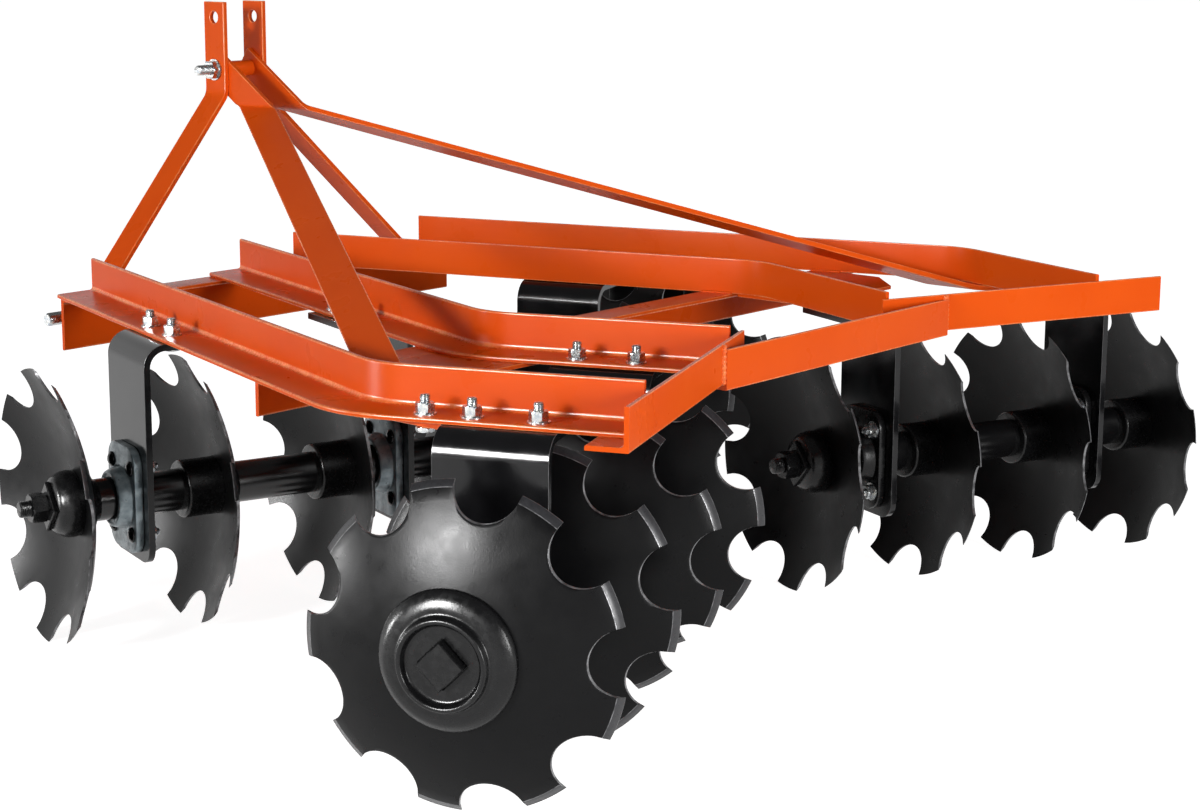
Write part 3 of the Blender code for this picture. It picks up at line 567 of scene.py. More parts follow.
def bell_casting(base):
    """The bell: a domed skirt, a raised ring, and a sunk face with a square pocket for the bar's head."""
    turns = np.linspace(0.0, 2.0 * math.pi, ROUND_COLUMNS, endpoint=False)
    skirt = base - float(dish_rise(BELL_RADIUS)) + HOLD_GAP * 2.0
    rim = base + BELL_LENGTH
    seat = rim - BELL_RECESS
    outer = [(base, DISC_FLAT_RADIUS), (skirt, BELL_RADIUS - MILLIMETRE), (skirt + BELL_EDGE, BELL_RADIUS)]
    outer += [(base + BELL_LENGTH * along, BELL_RADIUS * out) for along, out in BELL_DOME]
    outer += [(outer[-1][0], BELL_RIM_RADIUS * BELL_RIM_FLARE), (rim, BELL_RIM_RADIUS),
              (rim, BELL_RIM_INNER), (seat, BELL_THROAT_RADIUS),
              (seat, BELL_THROAT_RADIUS * BELL_SEAT_SHARE)]
    rows = eased(outer, BELL_ROUND, steps=5)
    pocket = square_radius(POCKET_SQUARE, turns)
    rows += [(seat, pocket + MILLIMETRE / 2.0), (seat - MILLIMETRE / 2.0, pocket),
             (seat - POCKET_DEPTH, pocket)]
    return turned(rows)


def end_casting(face):
    """The flared casting in the outer disc's hollow, a dome that narrows to the washer."""
    end = face - END_CAST_LENGTH
    line = [(face - END_CAST_LENGTH * along, END_CAST_RADIUS * out) for along, out in END_CAST_DOME]
    line += [(end + END_NECK_LENGTH, END_NECK_RADIUS * END_NECK_SHARES[0]),
             (end, END_NECK_RADIUS * END_NECK_SHARES[1])]
    return turned(eased(line, END_CAST_ROUND, steps=6))


def spool_foot(start):
    """The flange of a spool against a disc's bulging face, with a fillet down to the tube."""
    line = [(start + FOOT_LENGTH * along, FOOT_RADIUS * out) for along, out in FOOT_FLANGE]
    line += [(start + FOOT_LENGTH * along, SPOOL_RADIUS * out) for along, out in FOOT_FILLET]
    return turned(eased(line, FOOT_ROUND))


def spool_collar(end):
    """The thick collar of a spool in a disc's hollow, with a chamfered lip where the tube goes in."""
    start = end - COLLAR_LENGTH
    waist = (end - COLLAR_LENGTH * COLLAR_WAIST[0], COLLAR_RADIUS * COLLAR_WAIST[1])
    line = [(start, SPOOL_RADIUS * FOOT_FILLET[-1][1]), (start, COLLAR_RADIUS * COLLAR_LIP_SHARE),
            (start + COLLAR_LIP, COLLAR_RADIUS), waist, (end, COLLAR_RADIUS)]
    return turned(eased(line, COLLAR_ROUND))


arbor_paints = [
    # Black paint over sand-cast iron: lumpy and pitted, glossy where the paint has pooled.
    surface_finish("black_paint_on_castings", ("#0A0A0B", "#161617"), (22.0, 3.0), (0.18, 0.34), (9.0, 5.0),
                   relief=((7.0, 3.0), (1.6, 3.0)), depth_mm=0.18, strength=0.5, specular=0.26,
                   patchy=False),
    # Gloss black on drawn tube: smooth, so that it keeps one clean line of light along its length.
    surface_finish("gloss_black_on_tube", ("#0A0A0B", "#131314"), (30.0, 3.0), (0.16, 0.26), (26.0, 4.0),
                   relief=((4.0, 3.0),), depth_mm=0.03, strength=0.4, specular=0.45, patchy=False),
]
for gang_name in DISC_TURN_SHARES:
    space = gang_space(gang_name)
    half = DISC_WALL / 2.0 + HOLD_GAP
    planes = [(index - (DISCS_PER_GANG - 1) / 2.0) * DISC_SPACING + DISC_DISH
              for index in range(DISCS_PER_GANG)]
    cast_face = planes[0] - half
    washer_face = cast_face - END_CAST_LENGTH
    nut_face = washer_face - END_WASHER_LENGTH
    stud_face = nut_face - NUT_LENGTH
    head_seat = planes[-1] + half + BELL_LENGTH - BELL_RECESS - POCKET_DEPTH
    grids = [threaded(stud_face, stud_face - THREAD_LENGTH, THREAD_RADIUS, THREAD_PITCH),
             hex_nut(nut_face, stud_face, NUT_RADIUS),
             square_plate(washer_face, nut_face, END_WASHER_SQUARE),
             end_casting(cast_face), bell_casting(planes[-1] + half),
             square_plate(head_seat, head_seat + POCKET_DEPTH + HEAD_LENGTH, HEAD_SQUARE)]
    tubes = []
    for before, after in zip(planes, planes[1:]):
        grids += [spool_foot(before + half), spool_collar(after - half)]
        tubes.append(turned([(before + half, SPOOL_RADIUS), (after - half, SPOOL_RADIUS)]))
    for plane in planes:
        grids.append(square_plate(plane - half, plane + half, BAR_SQUARE))
    skins = [skin(placed(grid, space)) for grid in grids]
    skins += [skin(placed(grid, space), paint=1) for grid in tubes]
    make_piece("arbor_and_spools_" + gang_name, skins, arbor_paints, "gang_" + gang_name,
               ["arbor_" + gang_name])

# Hangers: 150 x 10 mm flat bar bent over at the top and bolted under a beam, its lower corners rounded,
# with a round hole for the spool. Painted gloss black, so the bend and the edges catch the light; the eased
# edges also carry a painted highlight.
HANGER_WIDTH = 0.150
HANGER_WALL = 0.010
HANGER_BOTTOM = 0.112
HANGER_BEND_RADIUS = 0.024
HANGER_CORNER_RADIUS = 0.028
HANGER_CORNER_ROWS = 9
HANGER_BEND_ROWS = 13
HANGER_SHARES = {("front", "outer"): 0.630, ("front", "inner"): 2.590,
                 ("rear", "outer"): 2.575, ("rear", "inner"): 0.665}
HOLE_RADIUS = 0.0385
BEAM_STATIONS = {("front", "outer"): 0.420, ("front", "inner"): 0.116,
                 ("rear", "outer"): 0.466, ("rear", "inner"): 0.062}
BEAM_OUT = 0.0665
FRAME_BOTTOM = 0.441
EDGE_ROUND = 0.0012
DRILL_OVERRUN = 0.010
BAR_EDGE_ANGLE = 40.0


def drill(piece, grids):
    """Cut holes with an exact Boolean and keep its result as the piece's own mesh.

    A hole through a bent bar can't be one sheet of the bar's own grid, so it is cut instead.
    """
    cutters = []
    for number, grid in enumerate(grids):
        points, faces, _ = skin(grid)
        mesh = bpy.data.meshes.new("drill_%d" % number)
        mesh.from_pydata(points.tolist(), [], faces)
        face_outward(mesh)
        cutter = bpy.data.objects.new("drill_%d" % number, mesh)
        scene.collection.objects.link(cutter)
        boolean = piece.modifiers.new("drill_%d" % number, "BOOLEAN")
        boolean.object = cutter
        cutters.append(cutter)
    bpy.context.view_layer.update()
    cut = bpy.data.meshes.new_from_object(piece.evaluated_get(bpy.context.evaluated_depsgraph_get()))
    piece.modifiers.clear()
    piece.data = cut
    for cutter in cutters:
        bpy.data.objects.remove(cutter)


def ease_edges(piece, width=EDGE_ROUND, limit=BAR_EDGE_ANGLE):
    """Round every sharp edge with a small bevel in the piece's second paint, a painted highlight, and keep
    flat faces flat.
    """
    bevel = piece.modifiers.new("eased_edges", "BEVEL")
    bevel.width = width
    bevel.segments = 2
    bevel.limit_method = "ANGLE"
    bevel.angle_limit = math.radians(limit)
    bevel.harden_normals = True
    bevel.material = 1


def hanger_grid(top_side, reach):
    """A bent bar: a rectangle carried up the leg, round the bend and out along the top.

    The half width follows the rounded lower corners: it loses R - sqrt(R^2 - (R - d)^2) at a height d
    above the lower end, for d below the corner radius R.
    """
    top = FRAME_BOTTOM - HOLD_GAP - DISC_RADIUS - HANGER_WALL / 2.0
    bottom = HANGER_BOTTOM - DISC_RADIUS
    bend = HANGER_BEND_RADIUS + HANGER_WALL / 2.0
    quarter = np.linspace(0.0, math.pi / 2.0, HANGER_CORNER_ROWS)
    heights = bottom + HANGER_CORNER_RADIUS * (1.0 - np.cos(quarter))
    swing = np.linspace(0.0, math.pi / 2.0, HANGER_BEND_ROWS)
    straight = np.zeros(HANGER_CORNER_ROWS)
    along = np.concatenate([straight, bend * (1.0 - np.cos(swing)), [reach]])
    up = np.concatenate([heights, top - bend + bend * np.sin(swing), [top]])
    turn = np.concatenate([straight, swing, [math.pi / 2.0]])
    below = np.clip(HANGER_CORNER_RADIUS - (up - bottom), 0.0, HANGER_CORNER_RADIUS)
    loss = HANGER_CORNER_RADIUS - np.sqrt(HANGER_CORNER_RADIUS ** 2 - below ** 2)
    half_width = HANGER_WIDTH / 2.0 - loss
    section = np.array([(1, -1), (1, 1), (-1, 1), (-1, -1)], float)
    grid = np.empty((len(up), 4, 3))
    out_x = -np.cos(turn)[:, None] * section[None, :, 1] * HANGER_WALL / 2.0
    out_z = np.sin(turn)[:, None] * section[None, :, 1] * HANGER_WALL / 2.0
    grid[..., 0] = (along[:, None] + out_x) * top_side
    grid[..., 1] = half_width[:, None] * section[None, :, 0]
    grid[..., 2] = up[:, None] + out_z
    return grid


hanger_paints = [
    # Gloss black enamel on flat bar: a slight orange peel, and dust that dulls it in patches.
    surface_finish("gloss_black_enamel", ("#0B0B0C", "#141416"), (45.0, 3.0), (0.12, 0.20), (35.0, 5.0),
                   relief=((3.0, 3.0),), depth_mm=0.035, strength=0.5, specular=0.30, patchy=False),
    # Painted highlight on the eased edges: the same black a shade lighter and glossier, so that they look
    # lit.
    surface_finish("painted_edge_highlight_black", ("#262628", "#58585A"), (14.0, 3.0), (0.16, 0.28), (3.0, 3.0),
                   specular=0.6),
]
hanger_seats = {}
for gang_name in DISC_TURN_SHARES:
    origin, axes = gang_space(gang_name)
    pair = gang_name.split("_")[0]
    end = 1.0 if pair == "front" else -1.0
    for place in ("outer", "inner"):
        station = (HANGER_SHARES[pair, place] - (DISCS_PER_GANG - 1) / 2.0) * DISC_SPACING
        along = (DISCS_PER_GANG - 1) / 2.0 * DISC_SPACING - end * station
        beam_at = BEAM_STATIONS[pair, place]
        top_side = end
        reach = along - beam_at
        if pair == "front" and place == "inner":
            top_side = -1.0
            reach = beam_at + BEAM_OUT - along + HANGER_WALL
        seat = (origin + axes[0] * station, axes)
        hanger_seats[gang_name, place] = seat
        name = "%s_%s" % (gang_name, place)
        hanger = make_piece("bent_hanger_" + name, [skin(placed(hanger_grid(top_side, reach), seat))],
                            hanger_paints, "frame", ["hanger_" + name])
        half = HANGER_WALL / 2.0 + DRILL_OVERRUN
        drill(hanger, [placed(turned([(-half, HOLE_RADIUS), (half, HOLE_RADIUS)]), seat)])
        ease_edges(hanger)

# Flange bearings: a cast housing, four bolts through the hanger, and the bearing's ring round the spool.
# The front ones are left grey with their nuts behind; the rear ones are painted in with nuts in front.
BEARING_WIDTH = 0.112
BEARING_HEIGHT = 0.160
BEARING_FLANGE = 0.012
BEARING_CORNER_RADIUS = 0.030
BEARING_BOSS_RADIUS = 0.048
BEARING_NOSE_RADIUS = 0.043
BEARING_BOSS_LENGTH = 0.020
BEARING_BORE = 0.0322
BEARING_RING_OUTER = 0.0372
BEARING_RING_SINK = 0.003
BEARING_RING_PROUD = 0.0035
BEARING_FILLET = 0.004
BEARING_LIP = 0.002
BEARING_BOSS_ROUND = 0.0025
FLANGE_EDGE_MM = ((1.5, 0.0), (0.4, 0.6), (0.0, 1.8))
BEARING_BOLT_Y = 0.038
BEARING_BOLT_Z = 0.050
SMALL_HEAD_RADIUS = 0.0115
SMALL_HEAD_LENGTH = 0.006
SMALL_HEAD_LIP_SHARE = 0.4
SMALL_HEAD_TOP_SHARE = 0.45
SMALL_HEAD_ROUND = 0.003
SMALL_STUD_RADIUS = 0.006
SMALL_WASHER_RADIUS = 0.0145
SMALL_WASHER_WALL = 0.002
SMALL_NUT_LENGTH = 0.011
SMALL_STUD_LENGTH = 0.019
SMALL_PITCH = 0.00175
SMALL_COLUMNS = 32
SMALL_NUT_COLUMNS = 36


def rounded_rectangle(width, height, corner, turns):
    """Distance to a rectangle with round corners, by the turn about its middle.

    Along a side it is half the width over the cosine, or half the height over the sine. At a corner it
    is where the ray leaves the corner's circle: b + sqrt(b^2 - (centre^2 - corner^2)), where b is how
    far along the ray the circle's centre lies.
    """
    c, s = np.abs(np.cos(turns)), np.abs(np.sin(turns))
    flat = np.minimum(width / 2.0 / np.maximum(c, 1e-6), height / 2.0 / np.maximum(s, 1e-6))
    centre_x, centre_y = width / 2.0 - corner, height / 2.0 - corner
    at_corner = (c * flat > centre_x) & (s * flat > centre_y)
    b = c * centre_x + s * centre_y
    arc = b + np.sqrt(np.maximum(b ** 2 - (centre_x ** 2 + centre_y ** 2 - corner ** 2), 0.0))
    return np.where(at_corner, arc, flat)


def bearing_housing():
    """The housing: a plate with round corners that rises through a fillet to the boss and its lip."""
    columns = ROUND_COLUMNS * 2
    turns = np.linspace(0.0, 2.0 * math.pi, columns, endpoint=False)
    plate = rounded_rectangle(BEARING_WIDTH, BEARING_HEIGHT, BEARING_CORNER_RADIUS, turns)
    face = -BEARING_FLANGE
    nose = face - BEARING_BOSS_LENGTH
    ring_seat = nose + BEARING_RING_SINK
    rows = [(0.0, BEARING_BORE), (0.0, plate - MILLIMETRE), (-MILLIMETRE, plate)]
    rows += [(face + MILLIMETRE * back, plate - MILLIMETRE * inward) for back, inward in FLANGE_EDGE_MM]
    boss = [(face, BEARING_BOSS_RADIUS + BEARING_FILLET), (face, BEARING_BOSS_RADIUS),
            (nose + BEARING_FILLET, BEARING_NOSE_RADIUS), (nose, BEARING_NOSE_RADIUS - BEARING_LIP),
            (nose, BEARING_RING_OUTER), (ring_seat, BEARING_RING_OUTER), (ring_seat, BEARING_BORE)]
    rows += eased(boss, BEARING_BOSS_ROUND, steps=3)
    return turned(rows, columns)


def bearing_ring():
    """The bearing's ring round the spool, standing out past the hanger's far face."""
    back = HANGER_WALL + BEARING_RING_PROUD
    ring = [(0.0, BEARING_BORE), (0.0, BEARING_RING_OUTER), (back, BEARING_RING_OUTER),
            (back, BEARING_BORE), (0.0, BEARING_BORE)]
    return turned(eased(ring, EDGE_ROUND, steps=3)[:-1])


def bolt_skins(spot, head_face, head_way, nut_face):
    """A round-topped head against one face, and a washer, nut and thread against the other."""
    way = -head_way
    washer = nut_face + way * SMALL_WASHER_WALL
    nut = washer + way * SMALL_NUT_LENGTH
    tail = nut_face + way * SMALL_STUD_LENGTH
    dome = [(head_face, SMALL_HEAD_RADIUS),
            (head_face + head_way * SMALL_HEAD_LENGTH * SMALL_HEAD_LIP_SHARE, SMALL_HEAD_RADIUS),
            (head_face + head_way * SMALL_HEAD_LENGTH, SMALL_HEAD_RADIUS * SMALL_HEAD_TOP_SHARE)]
    ring = [(nut_face, SMALL_WASHER_RADIUS), (washer, SMALL_WASHER_RADIUS)]
    return [skin(placed(turned(eased(dome, SMALL_HEAD_ROUND), SMALL_COLUMNS), spot), paint=1),
            skin(placed(turned(ring, SMALL_COLUMNS), spot)),
            skin(placed(hex_nut(washer, nut, SMALL_HEAD_RADIUS, SMALL_NUT_COLUMNS), spot)),
            skin(placed(threaded(nut, tail, SMALL_STUD_RADIUS, SMALL_PITCH), spot))]


# Cast iron under thin grey primer: sand grain, drawn coarse enough to show, and darker where dirt and
# spray have settled.
grey_iron = surface_finish("grey_cast_iron", ("#59666C", "#A2AFB4"), (18.0, 4.0), (0.26, 0.44), (7.0, 3.0),
                           relief=((1.4, 4.0),), depth_mm=0.12, strength=0.6, metallic=0.4)
# Bright zinc on turned steel: clear, with a faint blue and yellow bloom. Its tool marks are drawn as soft
# grain, coarse enough to show.
zinc = surface_finish("bright_zinc_plate", ("#9CA2AA", "#C6C5BF"), (6.0, 3.0), (0.18, 0.32), (2.2, 3.0),
                      relief=((0.8, 3.0),), depth_mm=0.03, strength=0.4, metallic=1.0)
for (gang_name, place), (seat_origin, axes) in hanger_seats.items():
    name = "%s_%s" % (gang_name, place)
    seat = (seat_origin + axes[0] * (-HANGER_WALL / 2.0 - HOLD_GAP), axes)
    painted_in = gang_name.startswith("rear")
    skins = [skin(placed(grid, seat), wrapped=True) for grid in (bearing_housing(), bearing_ring())]
    make_piece("flange_bearing_" + name, skins, [arbor_paints[0] if painted_in else grey_iron], "frame",
               ["bearing_" + name], crease=42.0)
    fasteners = []
    for y in (-BEARING_BOLT_Y, BEARING_BOLT_Y):
        for z in (-BEARING_BOLT_Z, BEARING_BOLT_Z):
            spot = (seat[0] + axes[1] * y + axes[2] * z, axes)
            back = HANGER_WALL + HOLD_GAP
            if painted_in:
                fasteners += bolt_skins(spot, back, 1.0, -BEARING_FLANGE)
            else:
                fasteners += bolt_skins(spot, -BEARING_FLANGE, -1.0, back)
    make_piece("bearing_bolts_" + name, fasteners, [zinc, hanger_paints[0]], "frame", [])

# Beams: four long angle irons, flat leg down and outward, bent in plan over the gap between the gangs.
# Powder coated orange; the coat is thick and even, with a soft sheen that goes pale at a low angle.
IRON_WALL = 0.0064
IRON_FILLET = 0.0055
IRON_HEEL = 0.0018
IRON_TOE = 0.0026
IRON_EDGE_ANGLE = 55.0
ARC_STEPS = 4
BEAM_UP = 0.058
BEAM_REAR_REACH = 0.163
BEAM_BEND_RADIUS = 0.120
BEAM_BEND_ROWS = 14
ALL_BEAMS = (("left_outer", "left", "outer"), ("left_inner", "left", "inner"),
             ("right_inner", "right", "inner"), ("right_outer", "right", "outer"))


def rounded_outline(corners):
    """A closed outline: each corner is (across, up, radius), and its arc is a quadratic curve."""
    points = []
    spots = np.array([corner[:2] for corner in corners], float)
    for index, corner in enumerate(corners):
        here = spots[index]
        before = spots[index - 1] - here
        after = spots[(index + 1) % len(corners)] - here
        start = here + before / np.linalg.norm(before) * corner[2]
        end = here + after / np.linalg.norm(after) * corner[2]
        for t in np.linspace(0.0, 1.0, ARC_STEPS + 1):
            points.append(start * (1 - t) ** 2 + here * 2 * t * (1 - t) + end * t ** 2)
    return np.array(points)


def mitred(path):
    """The way through each point of a path, halfway between the stretches beside it, and the cosine of
    half the bend, by which a width across that way is divided to keep the wall even."""
    step = np.diff(path, axis=0)
    step /= np.linalg.norm(step, axis=1)[:, None]
    into = np.vstack([step[:1], step])
    out = np.vstack([step, step[-1:]])
    along = into + out
    along /= np.linalg.norm(along, axis=1)[:, None]
    return along, np.sqrt((1.0 + (into * out).sum(axis=1)) / 2.0)


def carried(path, outline, hint, level_front=False):
    """An outline carried along a plan path.

    Each point is the path's own, plus the outline's first number along the level normal on the side of
    the hint, mitred at bends, and its second number as the height. A level front end is cut along X.
    """
    path = np.asarray(path, float)
    along, half_cosine = mitred(path)
    across = np.stack([along[:, 1], -along[:, 0]], axis=-1)
    across *= np.sign(across @ np.asarray(hint, float))[:, None]
    across /= half_cosine[:, None]
    if level_front:
        across[0] -= along[0] * across[0, 1] / along[0, 1]
    grid = np.empty((len(path), len(outline), 3))
    grid[..., :2] = path[:, None] + across[:, None] * outline[None, :, 0, None]
    grid[..., 2] = outline[None, :, 1]
    return grid


def frame_piece(name, skins, nodes):
    """A piece of the frame in its orange, with the painted highlight orange as its second paint."""
    return make_piece(name, skins, frame_paints, "frame", nodes)


def angle_iron(node, path, outline, hint, level_front=False):
    """One rolled iron in place of its node: the outline carried along the path, its thin edges eased.

    Its faces on rounded edges and in the fillet take the second paint, a painted highlight: in each corner's
    run of faces round the outline, these are all but the last.
    """
    grid = carried(path, outline, hint, level_front)
    points, faces, numbers = skin(grid)
    rows, columns = grid.shape[:2]
    numbers = np.array(numbers)
    numbers[:(rows - 1) * columns] = np.tile(np.arange(columns) % (ARC_STEPS + 1) < ARC_STEPS, rows - 1)
    iron = frame_piece("angle_" + node, [(points, faces, numbers)], [node])
    ease_edges(iron, limit=IRON_EDGE_ANGLE)


def gang_lines(end_name, side_name):
    """In plan: the rim centre of a gang's inner disc, the way out along the gang, and the way across it,
    away from the machine's middle."""
    origin, axes = gang_space("%s_%s" % (end_name, side_name))
    end = 1.0 if end_name == "front" else -1.0
    side = -1.0 if side_name == "left" else 1.0
    outward = -end * axes[0][:2]
    start = origin[:2] - outward * DISC_SPACING * (DISCS_PER_GANG - 1) / 2.0
    onward = np.array([-side * abs(outward[1]), end * abs(outward[0])])
    return start, outward, onward


def crossing(point_a, way_a, point_b, way_b):
    """Where two lines in plan cross: along the first by (apart x way b) / (way a x way b)."""
    apart = point_b - point_a
    cross = way_a[0] * way_b[1] - way_a[1] * way_b[0]
    return point_a + way_a * (apart[0] * way_b[1] - apart[1] * way_b[0]) / cross


def round_bend(before, corner, after, radius, steps):
    """Two straight stretches joined by an arc of a given radius, which starts radius * tan(swing / 2)
    before the corner."""
    into = (corner - before) / np.linalg.norm(corner - before)
    out = (after - corner) / np.linalg.norm(after - corner)
    swing = math.acos(float(np.clip(into @ out, -1.0, 1.0)))
    start = corner - into * radius * math.tan(swing / 2.0)
    normal = out - into * (out @ into)
    normal /= np.linalg.norm(normal)
    turns = np.linspace(0.0, swing, steps)[:, None]
    arc = start + normal * radius * (1.0 - np.cos(turns)) + into * radius * np.sin(turns)
    return np.vstack([before[None], arc, after[None]])


def beam_path(side_name, place):
    """Plan line of a beam's upright leg: across the front gang, round the bend, across the rear gang."""
    front_start, front_out, front_on = gang_lines("front", side_name)
    rear_start, rear_out, rear_on = gang_lines("rear", side_name)
    front = front_start + front_out * BEAM_STATIONS["front", place]
    rear = rear_start + rear_out * BEAM_STATIONS["rear", place]
    corner = crossing(front, front_on, rear, rear_on)
    front_end = corner + front_on * (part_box("cross_iron_front")[1].y - corner[1]) / front_on[1]
    return round_bend(front_end, corner, rear + rear_on * BEAM_REAR_REACH, BEAM_BEND_RADIUS,
                      BEAM_BEND_ROWS)


# Orange powder coat: fine orange peel, slightly deeper in broad patches, with a low even sheen.
coat = surface_finish("orange_powder_coat", ("#DA4E0C", "#DF5410"), (160.0, 3.0), (0.26, 0.33), (60.0, 3.0),
                      relief=((2.6, 2.0),), depth_mm=0.03, strength=0.45, specular=0.055)
# Painted highlight: a paler, glossier orange on eased edges, rounded corners, fillets and the joint welds,
# so that they look lit.
edge_highlight_coat = surface_finish("painted_edge_highlight_orange", ("#E25E22", "#EE8A4E"), (24.0, 3.0), (0.22, 0.32),
                           (4.0, 3.0), specular=0.24)
frame_paints = [coat, edge_highlight_coat]
beam_outline = rounded_outline((
    (-IRON_WALL, FRAME_BOTTOM, IRON_HEEL), (BEAM_OUT, FRAME_BOTTOM, EDGE_ROUND),
    (BEAM_OUT, FRAME_BOTTOM + IRON_WALL, IRON_TOE), (0.0, FRAME_BOTTOM + IRON_WALL, IRON_FILLET),
    (0.0, FRAME_BOTTOM + BEAM_UP, IRON_TOE), (-IRON_WALL, FRAME_BOTTOM + BEAM_UP, EDGE_ROUND)))
for name, side_name, place in ALL_BEAMS:
    side = -1.0 if side_name == "left" else 1.0
    angle_iron("beam_" + name, beam_path(side_name, place), beam_outline, (side, 0.0), level_front=True)

# Cross irons: one angle iron across the front and a lower one under the beams' middle, upright leg in
# front, with a flat gusset plate behind the middle one on each side. Welded under the beams.
CROSS_ALONG = 0.055
PLATE_CLIP = 0.070


def angle_section(front_out, top, up, along):
    """Outline of an iron whose upright leg hangs in front and whose flat leg runs back on top."""
    inner = front_out - IRON_WALL
    back = front_out - along
    return rounded_outline((
        (front_out, top - up, EDGE_ROUND), (front_out, top, IRON_HEEL), (back, top, EDGE_ROUND),
        (back, top - IRON_WALL, IRON_TOE), (inner, top - IRON_WALL, IRON_FILLET),
        (inner, top - up, IRON_TOE)))


for name in ("cross_iron_front", "cross_iron_middle"):
    low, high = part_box(name)
    outline = angle_section(0.0, high.z, high.z - low.z, CROSS_ALONG)
    path = [(low.x, high.y), (high.x, high.y)]
    angle_iron(name, path, outline, (0.0, 1.0))

for side_name, side in (("left", -1.0), ("right", 1.0)):
    name = "frame_plate_" + side_name
    low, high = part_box(name)
    outer, inner = (low.x, high.x) if side < 0.0 else (high.x, low.x)
    corners = np.array([(inner, high.y), (outer, high.y), (outer, low.y + PLATE_CLIP),
                        (outer - side * PLATE_CLIP, low.y), (inner, low.y)])
    grid = np.stack([np.column_stack([corners, np.full(len(corners), z)]) for z in (low.z, high.z)])
    ease_edges(frame_piece("gusset_plate_" + side_name, [skin(grid)], [name]))

# Rear irons: one angle iron behind each pair of beams and a third across the middle, mitred to them.
# Each upright leg stands behind the beams' ends; a vertical weld closes the joints between the three.
REAR_UP = 0.056
REAR_ALONG = 0.055
REAR_REACH = 0.179
REAR_SIDE_INNER = 0.040
REAR_SIDE_OUTER = 0.580


def rear_section(low):
    """Outline of a rear iron: upright leg at zero, flat leg running in under the beams."""
    return rounded_outline((
        (0.0, low, IRON_HEEL), (0.0, low + REAR_UP, EDGE_ROUND), (-IRON_WALL, low + REAR_UP, IRON_TOE),
        (-IRON_WALL, low + IRON_WALL, IRON_FILLET), (-REAR_ALONG, low + IRON_WALL, IRON_TOE),
        (-REAR_ALONG, low, EDGE_ROUND)))


for side_name in ("left", "right"):
    start, outward, onward = gang_lines("rear", side_name)
    line = start + onward * REAR_REACH
    path = [line + outward * REAR_SIDE_INNER, line + outward * REAR_SIDE_OUTER]
    name = "rear_iron_" + side_name
    angle_iron(name, path, rear_section(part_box(name)[0].z), onward)

low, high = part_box("rear_iron_centre")
path = [(low.x, low.y), (high.x, low.y)]
angle_iron("rear_iron_centre", path, rear_section(low.z), (0.0, -1.0))

# Welds: rippled beads, painted over. They close the rear irons' joints and hold each beam to the cross
# irons under it, along the heel and the outer edge.
BEAD_RADIUS = 0.0027
BEAD_RIPPLE = 0.0042
JOINT_BEAD_RADIUS = 0.0047
JOINT_BEAD_RIPPLE = 0.0072
JOINT_SWELL_SHARE = 0.14
BEAD_SWELL_SHARE = 0.08
BEAD_ROWS_PER_RIPPLE = 8
BEAD_START_SHARE = 0.25
BEAD_SINK_SHARE = 0.4
BEAD_RISE_SHARE = 0.3


def weld_bead(start, end, radius=BEAD_RADIUS, ripple=BEAD_RIPPLE, swell_share=BEAD_SWELL_SHARE,
              columns=10):
    """A bead along a line: a round ridge whose radius swells once in each ripple, as the sine's size does,
    and falls as a square root to a blunt point at both ends."""
    start, end = np.array(start, float), np.array(end, float)
    length = np.linalg.norm(end - start)
    along = (end - start) / length
    # Any way that isn't the bead's own gives the first of two ways across it.
    aside = np.cross(along, (0.3, 0.2, 1.0) if abs(along[2]) < 0.9 else (1.0, 0.0, 0.0))
    aside /= np.linalg.norm(aside)
    count = int(length / ripple * BEAD_ROWS_PER_RIPPLE) + 4
    run = np.linspace(0.0, length, count)
    swell = radius * (1.0 + swell_share * (2.0 * np.abs(np.sin(math.pi * run / ripple)) - 1.0))
    swell *= np.clip(np.minimum(run, length - run) / radius + BEAD_START_SHARE, 0.0, 1.0) ** 0.5
    turns = np.linspace(0.0, 2.0 * math.pi, columns, endpoint=False)
    ring = np.cos(turns)[:, None] * aside + np.sin(turns)[:, None] * np.cross(along, aside)
    return start + run[:, None, None] * along + swell[:, None, None] * ring[None]


joint_beads = []
centre_low, centre_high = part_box("rear_iron_centre")
for side_name, side, end_x in (("left", -1.0, centre_low.x), ("right", 1.0, centre_high.x)):
    start, outward, onward = gang_lines("rear", side_name)
    line = start + onward * REAR_REACH
    joint_y = line[1] + outward[1] * (end_x - line[0]) / outward[0]
    iron_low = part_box("rear_iron_" + side_name)[0].z
    spot = (end_x + side * BEAD_RADIUS * BEAD_SINK_SHARE, joint_y - BEAD_RADIUS * BEAD_SINK_SHARE)
    joint_beads.append(weld_bead((*spot, iron_low), (*spot, iron_low + REAR_UP), JOINT_BEAD_RADIUS,
                                 JOINT_BEAD_RIPPLE, JOINT_SWELL_SHARE))
beads = []
for name, side_name, place in ALL_BEAMS:
    side = -1.0 if side_name == "left" else 1.0
    path = beam_path(side_name, place)
    order = np.argsort(path[:, 1])
    for iron_name in ("cross_iron_front", "cross_iron_middle"):
        low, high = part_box(iron_name)
        for reach in (BEAM_OUT, -IRON_WALL):
            ends = []
            for y in (high.y - CROSS_ALONG, high.y - BEAD_RADIUS):
                x = np.interp(y, path[order, 1], path[order, 0]) + side * reach
                ends.append((x, y, high.z + BEAD_RADIUS * BEAD_RISE_SHARE))
            if low.x < ends[0][0] < high.x:
                beads.append(weld_bead(*ends))
# The welds at the rear irons' joints take the painted highlight orange.
skins = [skin(bead) for bead in beads] + [skin(bead, paint=1) for bead in joint_beads]
frame_piece("frame_weld_beads", skins, [])

